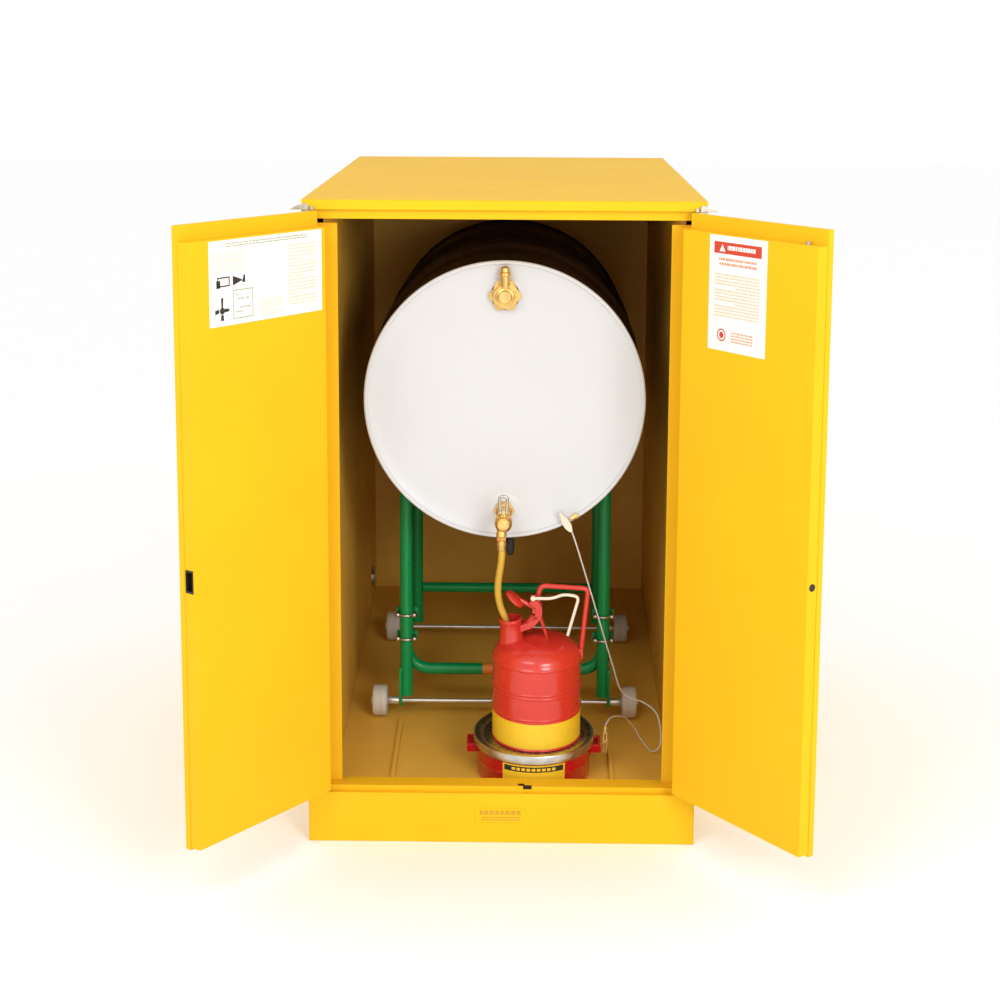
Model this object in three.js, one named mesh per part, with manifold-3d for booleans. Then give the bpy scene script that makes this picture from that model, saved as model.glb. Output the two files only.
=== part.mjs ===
// A horizontal-drum safety cabinet: a double-walled steel cabinet with two doors, holding a drum
// on a wheeled cradle, with a dispensing faucet, a hose, a safety can and a drain can.
// Millimetres. X is to the right, Y goes into the cabinet, Z is up, the ground is Z = 0.
// Everything is drawn with the front plane at Y = 0. The last group moves the origin to the
// centre of the cabinet's underside.
import * as THREE from 'three';
import { mergeVertices } from 'three/addons/utils/BufferGeometryUtils.js';
import Module from 'manifold-3d';

const wasm = await Module();
wasm.setup();

// ---------------------------------------------------------------- driving dimensions
const GAP = 0.3;            // clearance between pieces that touch
const SHEET = 2;            // folded steel sheet

const CABINET = { width: 787, depth: 1280, height: 1316 };
const HALF = CABINET.width / 2;
const LINER_X = 355;        // inner face of each side liner
const LINER_BACK = 1236;    // inner face of the back liner
const CEILING = 1276;       // inner face of the ceiling
const RABBET = { x: 373.5, depth: 12.3 };   // where the door skins sit flush with the front
const JAMB_X = 369;         // half width of the door opening
const STOP = { x: 328, y: 38, top: 1267 };  // flange behind the closed doors
const PLINTH_TOP = 105;
const SILL = { top: 116, back: 55 };
const FASCIA_BOTTOM = 1297;
const HEADER_BOTTOM = 1278;
const FLOOR = { front: 66, slope: 0.084 };  // height at the front plane, and rise per mm of depth

const DOOR = {
  hingeX: 373, hingeY: -3, openAngle: 126,
  skinEdge: 372, skinMeet: 1.5, skinDepth: 12, skinBottom: 117, skinTop: 1295,
  boxEdge: 367, boxMeet: 3, boxDepth: 36, boxBottom: 122, boxTop: 1266,
};
const LATCH = { z: 641, y: 24, bolt: 7, rod: 5, rodX: 40 };

const DRUM = {
  z: 882, front: 200, length: 880, body: 286, hoop: 298, chime: 293, wall: 2,
  headInset: 12, ventZ: 1102, faucetZ: 647,
};
const WHEEL = { radius: 35, width: 34, x: 282 };
const CRADLE = {
  tube: 14, x: 222, railZ: 652, bend: 60, frontY: 449, rearY: 878,
  axle: 5, saddleY: [540, 745], saddleWidth: 30,
};
const CAN = { x: 66, y: 190, drainRadius: 120, rimRadius: 127.5, deck: 84, radius: 95 };

const floorZ = (y) => FLOOR.front + FLOOR.slope * y;
const SLOPE = Math.atan(FLOOR.slope);
const degrees = THREE.MathUtils.degToRad;

// ---------------------------------------------------------------- materials
const paint = (color, roughness, metalness) =>
  new THREE.MeshStandardMaterial({ color, roughness, metalness });
const MATERIAL = {
  yellow: paint(0xfbcf2f, 0.4, 0.0),
  drum: paint(0x2a1712, 0.45, 0.0),
  white: paint(0xf3f2f0, 0.4, 0.0),
  green: paint(0x00824b, 0.35, 0.0),
  red: paint(0xd8262c, 0.3, 0.0),
  brass: paint(0xd9ab4c, 0.3, 1.0),
  steel: paint(0xb9b7b2, 0.3, 1.0),
  black: paint(0x16130f, 0.5, 0.3),
  hose: paint(0xd8b13c, 0.5, 0.0),
  wire: paint(0xeeece6, 0.5, 0.0),
  wheel: paint(0x9a9a98, 0.6, 0.0),
};

// ---------------------------------------------------------------- shape helpers
const X = new THREE.Vector3(1, 0, 0);
const Y = new THREE.Vector3(0, 1, 0);
const Z = new THREE.Vector3(0, 0, 1);
const vec = (x, y, z) => new THREE.Vector3(x, y, z);

function solid(geometry) {
  const bare = geometry.clone();
  bare.deleteAttribute('normal');
  bare.deleteAttribute('uv');
  const merged = mergeVertices(bare, 1e-4);
  return new wasm.Manifold(new wasm.Mesh({
    numProp: 3,
    vertProperties: new Float32Array(merged.attributes.position.array),
    triVerts: new Uint32Array(merged.index.array),
  }));
}

function geometryOf(body) {
  const mesh = body.getMesh();
  const geometry = new THREE.BufferGeometry();
  geometry.setAttribute('position', new THREE.BufferAttribute(new Float32Array(mesh.vertProperties), 3));
  geometry.setIndex(new THREE.BufferAttribute(new Uint32Array(mesh.triVerts), 1));
  geometry.computeVertexNormals();
  return geometry;
}

const join = (...geometries) => geometryOf(geometries.map(solid).reduce((all, one) => all.add(one)));

function cut(geometry, ...tools) {
  return geometryOf(tools.map(solid).reduce((left, tool) => left.subtract(tool), solid(geometry)));
}

function box(x, y, z) {
  const [x0, x1] = [Math.min(...x), Math.max(...x)];
  const geometry = new THREE.BoxGeometry(x1 - x0, y[1] - y[0], z[1] - z[0]);
  return geometry.translate((x0 + x1) / 2, (y[0] + y[1]) / 2, (z[0] + z[1]) / 2);
}

const outline = (points) => new THREE.Shape(points.map(([a, b]) => new THREE.Vector2(a, b)));

function prism(shape, depth, curveSegments = 12) {
  return new THREE.ExtrudeGeometry(shape, { depth, bevelEnabled: false, curveSegments });
}

// A prism along X from an outline in Y and Z, along Y from one in X and Z, or along Z from X and Y.
function prismX(shape, x0, x1, curveSegments) {
  const turn = new THREE.Matrix4().makeBasis(Y, Z, X);
  return prism(shape, x1 - x0, curveSegments).applyMatrix4(turn).translate(x0, 0, 0);
}

function prismY(shape, y0, y1, curveSegments) {
  const turn = new THREE.Matrix4().makeBasis(X, Z, Y.clone().negate());
  return prism(shape, y1 - y0, curveSegments).applyMatrix4(turn).translate(0, y1, 0);
}

function prismZ(shape, z0, z1, curveSegments) {
  return prism(shape, z1 - z0, curveSegments).translate(0, 0, z0);
}

// A round bar from one point to another.
function bar(from, to, radius, sides = 16, endRadius = radius) {
  const along = to.clone().sub(from);
  const geometry = new THREE.CylinderGeometry(endRadius, radius, along.length(), sides);
  const turn = new THREE.Quaternion().setFromUnitVectors(Y, along.clone().normalize());
  return geometry.applyQuaternion(turn).translate(...from.clone().add(to).multiplyScalar(0.5));
}

// A turned piece: the profile is [radius, distance along the axis] from the axis' low end upwards.
function turned(profile, axis, centre, sides = 32) {
  const points = profile.map(([r, t]) => new THREE.Vector2(r, t));
  const turn = new THREE.Quaternion().setFromUnitVectors(Y, axis);
  return new THREE.LatheGeometry(points, sides).applyQuaternion(turn).translate(...centre);
}

// A line through the corners, each corner rounded with the same bend.
function bentPath(corners, bend) {
  const path = new THREE.CurvePath();
  let at = corners[0];
  corners.slice(1, -1).forEach((corner, i) => {
    const before = corners[i].clone().sub(corner).setLength(bend).add(corner);
    const after = corners[i + 2].clone().sub(corner).setLength(bend).add(corner);
    path.add(new THREE.LineCurve3(at, before));
    path.add(new THREE.QuadraticBezierCurve3(before, corner, after));
    at = after;
  });
  path.add(new THREE.LineCurve3(at, corners.at(-1)));
  return path;
}

function tube(path, radius, sides, steps) {
  const section = new THREE.Shape().absarc(0, 0, radius, 0, Math.PI * 2);
  return new THREE.ExtrudeGeometry(section, {
    extrudePath: path, steps, curveSegments: sides / 2, bevelEnabled: false,
  });
}

function regular(sides, radius, cx = 0, cz = 0) {
  const turn = Math.PI / sides;
  return outline(Array.from({ length: sides }, (_, i) => {
    const angle = turn + (2 * Math.PI * i) / sides;
    return [cx + radius * Math.cos(angle), cz + radius * Math.sin(angle)];
  }));
}

function add(parent, name, geometry, material) {
  const mesh = new THREE.Mesh(geometry, material);
  mesh.name = name;
  parent.add(mesh);
}

const SIDES = [['left', -1], ['right', 1]];

// ---------------------------------------------------------------- cabinet shell
function buildShell(group) {
  const innerX = HALF - SHEET - GAP;
  const lip = SHEET;
  add(group, 'base_pan', box([-innerX, innerX], [12 + GAP, 1278 - GAP], [0, 3]), MATERIAL.yellow);

  const plinth = outline([[0, 0], [lip, 0], [lip, PLINTH_TOP - lip], [12, PLINTH_TOP - lip],
    [12, PLINTH_TOP], [0, PLINTH_TOP]]);
  add(group, 'plinth_front', prismX(plinth, -innerX, innerX), MATERIAL.yellow);

  const front = RABBET.depth;
  const sill = outline([[front, 90], [front + lip, 90], [front + lip, SILL.top - lip],
    [SILL.back - lip, SILL.top - lip], [SILL.back - lip, 72], [SILL.back, 72],
    [SILL.back, SILL.top], [front, SILL.top]]);
  const rodHole = bar(vec(LATCH.rodX, LATCH.y, 60), vec(LATCH.rodX, LATCH.y, 130), LATCH.rod + 3);
  add(group, 'sill', cut(prismX(sill, -391, 391), rodHole), MATERIAL.yellow);

  for (const [side, sign] of SIDES) {
    const wall = outline([[0, 0], [0, CABINET.depth], [-lip, CABINET.depth], [-lip, lip],
      [RABBET.x + lip - HALF, lip], [RABBET.x + lip - HALF, 12], [RABBET.x - HALF, 12],
      [RABBET.x - HALF, 0]].map(([x, y]) => [sign * (HALF + x), y]));
    const notch = box([sign * 300, sign * 400], [-1, lip + GAP], [FASCIA_BOTTOM - GAP, 1400]);
    const bendNotch = box([sign * 300, sign * 400], [-1, 7], [1308, 1400]);
    const toe = box([sign * 300, sign * (innerX + GAP)], [-1, 13], [-1, PLINTH_TOP + GAP]);
    const ventHole = bar(ventCentre(sign, 300), ventCentre(sign, 400), VENT.tube + 0.5, 24);
    const panel = prismZ(wall, 0, CABINET.height - lip - GAP);
    add(group, `side_panel_${side}`, cut(panel, notch, bendNotch, toe, ventHole), MATERIAL.yellow);

    const liner = box([sign * LINER_X, sign * (LINER_X + lip)], [SILL.back + GAP, LINER_BACK], [30, CEILING]);
    add(group, `liner_${side}`, cut(liner, ventHole), MATERIAL.yellow);

    const frame = outline([[391, front], [JAMB_X, front], [JAMB_X, STOP.y], [STOP.x, STOP.y],
      [STOP.x, STOP.y + lip], [JAMB_X + lip, STOP.y + lip], [JAMB_X + lip, front + lip],
      [391, front + lip]].map(([x, y]) => [sign * x, y]));
    const above = box([sign * 300, sign * (JAMB_X - 0.1)], [STOP.y - 1, STOP.y + 4], [STOP.top, 1300]);
    const upright = prismZ(frame, SILL.top + GAP, HEADER_BOTTOM - GAP);
    add(group, `door_frame_${side}`, cut(upright, above), MATERIAL.yellow);

    const rail = outline([[58, floorZ(58) + GAP], [410, floorZ(410) + GAP], [410, floorZ(410) + 8],
      [58, floorZ(58) + 8]]);
    const railX = sign < 0 ? [-236, -228] : [228, 236];
    add(group, `floor_rail_${side}`, prismX(rail, ...railX), MATERIAL.yellow);
  }

  add(group, 'back_panel', box([-innerX, innerX], [1278, 1280], [0, 1313]), MATERIAL.yellow);
  add(group, 'liner_back', box([-LINER_X, LINER_X], [LINER_BACK + GAP, LINER_BACK + 2.3], [30, CEILING]),
    MATERIAL.yellow);
  add(group, 'liner_ceiling', box([-357, 357], [SILL.back + GAP, 1238], [CEILING + GAP, CEILING + 2.3]),
    MATERIAL.yellow);

  const floor = outline([[SILL.back + GAP, floorZ(SILL.back) - 3], [LINER_BACK, floorZ(LINER_BACK) - 3],
    [LINER_BACK, floorZ(LINER_BACK)], [SILL.back + GAP, floorZ(SILL.back)]]);
  add(group, 'floor_pan', prismX(floor, GAP - LINER_X, LINER_X - GAP), MATERIAL.yellow);

  const header = outline([[front, HEADER_BOTTOM], [SILL.back, HEADER_BOTTOM],
    [SILL.back, HEADER_BOTTOM + lip], [front + lip, HEADER_BOTTOM + lip], [front + lip, 1312],
    [front, 1312]]);
  const rodSlot = bar(vec(LATCH.rodX, LATCH.y, 1250), vec(LATCH.rodX, LATCH.y, 1290), LATCH.rod + 3);
  add(group, 'header', cut(prismX(header, -391, 391), rodSlot), MATERIAL.yellow);

  const bend = 6;
  const top = new THREE.Shape();
  top.moveTo(0, FASCIA_BOTTOM);
  top.lineTo(0, CABINET.height - bend);
  top.absarc(bend, CABINET.height - bend, bend, Math.PI, Math.PI / 2, true);
  top.lineTo(CABINET.depth, CABINET.height);
  top.lineTo(CABINET.depth, CABINET.height - lip);
  top.lineTo(bend, CABINET.height - lip);
  top.absarc(bend, CABINET.height - bend, bend - lip, Math.PI / 2, Math.PI, false);
  top.lineTo(lip, FASCIA_BOTTOM);
  add(group, 'top_panel', prismX(top, -HALF, HALF, 5), MATERIAL.yellow);
}

// A capped vent through each side wall, high on the right and low on the left.
const VENT = { tube: 26, flange: 38, y: 1120, low: 230, high: 1180 };
const ventCentre = (sign, x) => vec(sign * x, VENT.y, sign < 0 ? VENT.low : VENT.high);

function buildVents(group) {
  for (const [side, sign] of SIDES) {
    const pipe = bar(ventCentre(sign, LINER_X - 4), ventCentre(sign, HALF + 2), VENT.tube, 24);
    const flange = bar(ventCentre(sign, HALF + GAP), ventCentre(sign, HALF + 4), VENT.flange, 24);
    const cap = bar(ventCentre(sign, HALF + 4), ventCentre(sign, HALF + 14), 30, 8, 28);
    const bore = bar(ventCentre(sign, LINER_X - 9), ventCentre(sign, HALF - 4), VENT.tube - 3, 24);
    add(group, `wall_vent_${side}`, cut(join(pipe, flange, cap), bore), MATERIAL.steel);
  }
}

// ---------------------------------------------------------------- doors
// A door is drawn closed, then its group carries it round the hinge to the open angle.
function doorGroup(parent, sign) {
  const swung = new THREE.Group();
  swung.position.set(sign * DOOR.hingeX, DOOR.hingeY, 0);
  swung.rotation.z = sign * degrees(DOOR.openAngle);
  const closed = new THREE.Group();
  closed.position.set(-sign * DOOR.hingeX, -DOOR.hingeY, 0);
  swung.add(closed);
  parent.add(swung);
  return closed;
}

function buildDoor(door, side, sign) {
  const wall = 1.5;
  const span = (a, b) => [sign * a, sign * b];
  const skin = box(span(DOOR.skinMeet, DOOR.skinEdge), [0, DOOR.skinDepth], [DOOR.skinBottom, DOOR.skinTop]);
  const hollow = box(span(DOOR.skinMeet + wall, DOOR.skinEdge - wall), [wall, DOOR.skinDepth - wall],
    [DOOR.skinBottom + wall, DOOR.skinTop - wall]);
  const window = box(span(DOOR.boxMeet + 20, DOOR.boxEdge - 20), [DOOR.skinDepth - 3, DOOR.skinDepth + 1],
    [DOOR.boxBottom + 20, DOOR.boxTop - 20]);
  const handleHole = bar(vec(sign * HANDLE.x, -5, LATCH.z), vec(sign * HANDLE.x, 8, LATCH.z), 9);
  const skinTools = sign > 0 ? [hollow, window, handleHole] : [hollow, window];
  add(door, `door_skin_${side}`, cut(skin, ...skinTools), MATERIAL.yellow);

  const back = DOOR.skinDepth + GAP;
  const pan = box(span(DOOR.boxMeet, DOOR.boxEdge), [back, DOOR.boxDepth], [DOOR.boxBottom, DOOR.boxTop]);
  const inside = box(span(DOOR.boxMeet + wall, DOOR.boxEdge - wall), [back - 1, DOOR.boxDepth - wall],
    [DOOR.boxBottom + wall, DOOR.boxTop - wall]);
  const boltHole = bar(vec(-20, LATCH.y, LATCH.z), vec(20, LATCH.y, LATCH.z), LATCH.bolt + GAP);
  const rodHole = bar(vec(LATCH.rodX, LATCH.y, 100), vec(LATCH.rodX, LATCH.y, 1290), LATCH.rod + GAP);
  const strikeSlot = box([-8, 0], [LATCH.y - 9.8, LATCH.y + 9.8], [LATCH.z - 22, LATCH.z + 22]);
  const panTools = sign > 0 ? [inside, boltHole, rodHole] : [inside, strikeSlot];
  add(door, `door_liner_${side}`, cut(pan, ...panTools), MATERIAL.yellow);
}

// A continuous hinge: knuckles take turns along one pin, which is fixed in the frame's leaf.
function buildHinge(cabinet, door, side, sign) {
  const knuckle = 3;
  const pitch = (DOOR.skinTop - DOOR.skinBottom) / 12;
  const count = 12;
  const bottom = DOOR.skinBottom;
  const axis = (z) => vec(sign * DOOR.hingeX, DOOR.hingeY, z);
  const frameLeaf = [
    box([sign * (DOOR.hingeX + 1.5), sign * 392], [-1.8, -GAP], [bottom, bottom + count * pitch]),
    bar(axis(bottom), axis(bottom + count * pitch), 1.2, 8),
  ];
  const doorLeaf = [
    box([sign * 350, sign * (DOOR.hingeX - 2.6)], [-1.8, -GAP], [bottom, bottom + count * pitch]),
  ];
  for (let i = 0; i < count; i += 1) {
    const low = bottom + i * pitch + GAP;
    const high = bottom + (i + 1) * pitch - GAP;
    if (i % 2 === 0) {
      frameLeaf.push(bar(axis(low), axis(high), knuckle, 10));
      frameLeaf.push(box([sign * DOOR.hingeX, sign * (DOOR.hingeX + 4)], [-1.8, -GAP], [low, high]));
    } else {
      doorLeaf.push(bar(axis(low), axis(high), knuckle, 10));
      doorLeaf.push(box([sign * (DOOR.hingeX - 4), sign * DOOR.hingeX], [-1.8, -GAP], [low, high]));
    }
  }
  const pinHole = bar(axis(0), axis(1400), 1.6, 8);
  const frameRelief = Array.from({ length: count / 2 }, (_, i) =>
    bar(axis(bottom + (2 * i + 1) * pitch - GAP), axis(bottom + (2 * i + 2) * pitch + GAP), 3.6, 10));
  const pin = frameLeaf[1];
  const leafOnly = cut(join(...frameLeaf), ...frameRelief);
  add(cabinet, `hinge_${side}_frame`, join(leafOnly, pin), MATERIAL.steel);
  const doorRelief = Array.from({ length: count / 2 }, (_, i) =>
    bar(axis(bottom + 2 * i * pitch - GAP), axis(bottom + (2 * i + 1) * pitch + GAP), 3.6, 10));
  add(door, `hinge_${side}_door`, cut(join(...doorLeaf), pinHole, ...doorRelief), MATERIAL.steel);
}

// The right door's handle turns a bolt at the meeting edge and two rods, one up and one down.
const HANDLE = { x: 70, reach: 105 };

function buildLatch(right, left) {
  const z = LATCH.z;
  const plate = box([HANDLE.x - 26, HANDLE.x + 26], [-3, -GAP], [z - 60, z + 60]);
  const bush = bar(vec(HANDLE.x, -12, z), vec(HANDLE.x, -GAP, z), 17, 24);
  const bore = bar(vec(HANDLE.x, -20, z), vec(HANDLE.x, 5, z), 8.3, 16);
  add(right, 'handle_plate', cut(join(plate, bush), bore), MATERIAL.black);

  const spindle = bar(vec(HANDLE.x, -40, z), vec(HANDLE.x, 7, z), 7, 16);
  const grip = box([HANDLE.x - 11, HANDLE.x + HANDLE.reach], [-40, -28], [z - 10, z + 10]);
  const tip = bar(vec(HANDLE.x + HANDLE.reach, -40, z), vec(HANDLE.x + HANDLE.reach, -28, z), 10, 16);
  add(right, 'door_handle', join(spindle, grip, tip), MATERIAL.black);

  add(right, 'latch_bolt', bar(vec(2, LATCH.y, z), vec(60, LATCH.y, z), LATCH.bolt, 20), MATERIAL.black);
  for (const [end, low, high] of [['top', 960, 1272], ['bottom', 119, 400]]) {
    const rod = bar(vec(LATCH.rodX, LATCH.y, low), vec(LATCH.rodX, LATCH.y, high), LATCH.rod, 12);
    add(right, `latch_rod_${end}`, rod, MATERIAL.steel);
  }

  const cup = box([-16, -DOOR.boxMeet + 1], [LATCH.y - 9.5, LATCH.y + 9.5], [z - 21.5, z + 21.5]);
  const pocket = box([-14, 2], [LATCH.y - 8, LATCH.y + 8], [z - 18, z + 18]);
  add(left, 'strike_cup', cut(cup, pocket), MATERIAL.black);
}

// ---------------------------------------------------------------- drum and its fittings
function buildDrum(group) {
  const { front, length, body, hoop, chime, wall } = DRUM;
  const back = front + length;
  const centre = vec(0, 0, DRUM.z);
  const hoopAt = (y) => [[body, y - 16], [hoop - 3, y - 8], [hoop, y], [hoop - 3, y + 8], [body, y + 16]];
  const shell = [
    [0, back - 14], [body - wall, back - 14], [body - wall, front], [chime - 3, front],
    [chime, front + 3], [chime, front + 8], [body, front + 12],
    ...hoopAt(front + length / 3), ...hoopAt(front + (2 * length) / 3),
    [body, back - 12], [chime, back - 8], [chime, back - 3], [chime - 3, back], [body - 1, back],
    [body - 1, back - 12], [0, back - 12],
  ];
  add(group, 'drum_shell', turned(shell, Y, centre, 56), MATERIAL.drum);

  const headY = front + DRUM.headInset;
  const plate = turned([[0, headY], [270, headY], [275, headY - 2], [body - wall - GAP, headY - 2],
    [body - wall - GAP, headY + 2], [0, headY + 2]], Y, centre, 56);
  const bosses = [DRUM.ventZ, DRUM.faucetZ].map((z) => bar(vec(0, headY - 3, z), vec(0, headY + 1, z), 33, 24));
  const holes = [DRUM.ventZ, DRUM.faucetZ].map((z) => bar(vec(0, 150, z), vec(0, 260, z), 14, 20));
  add(group, 'drum_head', cut(join(plate, ...bosses), ...holes), MATERIAL.white);
}

// The pressure vent in the upper bung: a lobed hand wheel, an octagonal body and a relief neck.
function buildDrumVent(group) {
  const z = DRUM.ventZ;
  const face = DRUM.front + DRUM.headInset - 3 - GAP;
  const lobes = outline(Array.from({ length: 48 }, (_, i) => {
    const angle = (2 * Math.PI * i) / 48;
    const r = 31.5 + 2.5 * Math.cos(6 * angle);
    return [r * Math.cos(angle), z + r * Math.sin(angle)];
  }));
  const flange = prismY(lobes, face - 9, face);
  const body = prismY(regular(8, 24, 0, z), face - 26, face - 8);
  const cap = bar(vec(0, face - 25, z), vec(0, face - 31, z), 19, 20, 15);
  const thread = bar(vec(0, face - 2, z), vec(0, face + 22, z), 13.5, 20);
  const neck = bar(vec(0, face - 16, z + 10), vec(0, face - 16, z + 52), 10.5, 16);
  const neckCap = bar(vec(0, face - 16, z + 51), vec(0, face - 16, z + 62), 12, 8, 9);
  add(group, 'drum_vent', join(flange, body, cap, thread, neck, neckCap), MATERIAL.brass);
}

// The faucet in the lower bung: a valve body with a spout that points down, and a loop lever.
const FAUCET = { y: 120, outletZ: 614, pivotZ: 664 };

function buildFaucet(group) {
  const z = DRUM.faucetZ;
  const face = DRUM.front + DRUM.headInset - 3 - GAP;
  const y = FAUCET.y;
  const thread = bar(vec(0, face - 4, z), vec(0, face + 22, z), 13.5, 20);
  const collar = prismY(regular(6, 21, 0, z), face - 14, face);
  const pipe = bar(vec(0, y - 2, z), vec(0, face - 13, z), 12, 20);
  const barrel = turned([[0, 627], [11, 627], [17, 634], [18, 650], [15, 658], [0, 658]], Z, vec(0, y, 0), 24);
  const front = prismY(regular(8, 12, 0, z - 2), y - 26, y - 10);
  const spout = bar(vec(-4, y, FAUCET.outletZ), vec(-4, y, 634), 8, 16, 11);
  const ear = box([-4, 4], [y - 7, y + 7], [655, 670]);
  add(group, 'faucet_body', join(thread, collar, pipe, barrel, front, spout, ear), MATERIAL.brass);

  const eye = FAUCET.pivotZ;
  const cheeks = [-1, 1].map((sign) => box([sign * 4.3, sign * 9], [y - 3.5, y + 3.5], [eye - 3, eye + 8]));
  const loop = tube(bentPath([vec(-8, y, eye + 4), vec(-9, y - 4, 700), vec(9, y - 4, 700),
    vec(8, y, eye + 4)], 7), 3.2, 8, 26);
  add(group, 'faucet_lever', join(...cheeks, loop), MATERIAL.steel);
}

// The route of the dispensing hose, from the faucet's outlet into the can's spout.
const HOSE = { radius: 7.5, points: [
  [-4, 120, 613.6], [-4, 120, 598], [-3, 122, 577], [-6, 128, 545], [-10.5, 137, 511], [-10.5, 147, 480],
  [-5.5, 155, 453], [3, 160, 429], [9, 163, 405],
] };
// The route of the bonding wire, from the drum's chime round a loose loop to the drain can.
const WIRE = { radius: 1.6, points: [
  [142, 191, 607], [148, 194, 590], [176, 219, 495], [206, 249, 390], [236, 282, 285], [256, 302, 221],
  [276, 312, 200], [306, 310, 190], [333, 296, 172], [343, 279, 136], [339, 262, 106], [326, 268, 93.5],
  [313, 295, 95.5], [302, 322, 102], [288, 328, 125], [270, 310, 152], [248, 272, 172], [229, 232, 181],
  [219, 206, 176],
] };

function buildCords(group) {
  const route = (points) => new THREE.CatmullRomCurve3(points.map((p) => vec(...p)), false, 'centripetal');
  add(group, 'hose', tube(route(HOSE.points), HOSE.radius, 10, 16), MATERIAL.hose);
  add(group, 'bonding_wire', tube(route(WIRE.points), WIRE.radius, 8, 48), MATERIAL.wire);
}

function buildGroundClamp(group) {
  const jaw = box([129, 146], [181, DRUM.front - GAP], [608, 634]);
  const screw = bar(vec(137, 172, 627), vec(137, 182, 627), 5, 12);
  const tail = box([134, 140], [185, 197], [633, 646]);
  add(group, 'ground_clamp', join(jaw, screw, tail), MATERIAL.brass);
}

// ---------------------------------------------------------------- cradle
function buildCradle(group) {
  const { tube: r, x, railZ, bend, frontY, rearY, axle } = CRADLE;
  const axleZ = (y) => floorZ(y) + WHEEL.radius / Math.cos(SLOPE);
  for (const [side, sign] of SIDES) {
    const foot = (y) => vec(sign * x, y, axleZ(y) + 14);
    const path = bentPath([foot(frontY), vec(sign * x, frontY, railZ), vec(sign * x, rearY, railZ),
      foot(rearY)], bend);
    const tabs = [frontY, rearY].map((y) =>
      box([sign * (x + 10), sign * (x + 16)], [y - 13, y + 13], [axleZ(y) - 14, axleZ(y) + 78]));
    const bores = [frontY, rearY].map((y) =>
      bar(vec(sign * (x - 30), y, axleZ(y)), vec(sign * (x + 30), y, axleZ(y)), axle + GAP, 16));
    add(group, `cradle_frame_${side}`, cut(join(tube(path, r, 12, 34), ...tabs), ...bores), MATERIAL.green);
  }

  const brace = { tube: 13, y: frontY + r + 13 + GAP, bottom: 206, top: 372, boltZ: [287, 343] };
  const limb = tube(bentPath([vec(-x, brace.y, brace.top), vec(-x, brace.y, brace.bottom),
    vec(x, brace.y, brace.bottom), vec(x, brace.y, brace.top)], bend), brace.tube, 12, 30);
  const clamps = SIDES.flatMap(([, sign]) => brace.boltZ.flatMap((z) => [
    box([sign * x - 23, sign * x + 23], [brace.y - 4, brace.y + 4], [z - 8, z + 8]),
    ...[-18.5, 18.5].map((dx) => bar(vec(sign * x + dx, frontY - 10, z), vec(sign * x + dx, brace.y, z), 3.5, 10)),
    ...[-18.5, 18.5].map((dx) => bar(vec(sign * x + dx, frontY - 15, z), vec(sign * x + dx, frontY - 8, z), 4, 10)),
  ]));
  add(group, 'cradle_brace', join(limb, ...clamps), MATERIAL.green);
  const cross = bar(vec(r + GAP - x, rearY, 277), vec(x - r - GAP, rearY, 277), 12, 16);
  add(group, 'cradle_cross_tube', cross, MATERIAL.green);

  CRADLE.saddleY.forEach((y, i) => {
    const inner = DRUM.body + GAP;
    const outer = Math.hypot(x, DRUM.z - railZ) - r - GAP;
    const half = degrees(46);
    const pad = new THREE.Shape();
    pad.absarc(0, DRUM.z, inner, -Math.PI / 2 - half, -Math.PI / 2 + half, false);
    pad.absarc(0, DRUM.z, outer, -Math.PI / 2 + half, -Math.PI / 2 - half, true);
    const width = CRADLE.saddleWidth;
    add(group, `saddle_${i ? 'rear' : 'front'}`, prismY(pad, y - width / 2, y + width / 2, 16), MATERIAL.green);
  });

  for (const [end, y] of [['front', frontY], ['rear', rearY]]) {
    const outerX = WHEEL.x + WHEEL.width / 2 + GAP;
    const shaft = bar(vec(-outerX - 4, y, axleZ(y)), vec(outerX + 4, y, axleZ(y)), axle, 16);
    const caps = [-1, 1].map((sign) =>
      bar(vec(sign * outerX, y, axleZ(y)), vec(sign * (outerX + 5), y, axleZ(y)), 9, 12));
    const sleeves = [-1, 1].map((sign) =>
      bar(vec(sign * (x + 16 + GAP), y, axleZ(y)), vec(sign * (WHEEL.x - WHEEL.width / 2 - GAP), y, axleZ(y)),
        9, 16));
    add(group, `axle_${end}`, join(shaft, ...caps, ...sleeves), MATERIAL.steel);
    for (const [side, sign] of SIDES) {
      const w = WHEEL.width / 2;
      const R = WHEEL.radius;
      const tread = turned([[13, -w], [20, -w], [20, 5 - w], [27, 5 - w], [28, -w + 1], [R - 3, -w + 1],
        [R, 5 - w], [R, w - 5], [R - 3, w - 1], [28, w - 1], [27, w - 5], [20, w - 5], [20, w], [13, w],
        [axle + GAP, w], [axle + GAP, -w], [13, -w]], X, vec(sign * WHEEL.x, y, axleZ(y)), 24);
      add(group, `wheel_${end}_${side}`, tread, MATERIAL.wheel);
    }
  }
}

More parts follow.
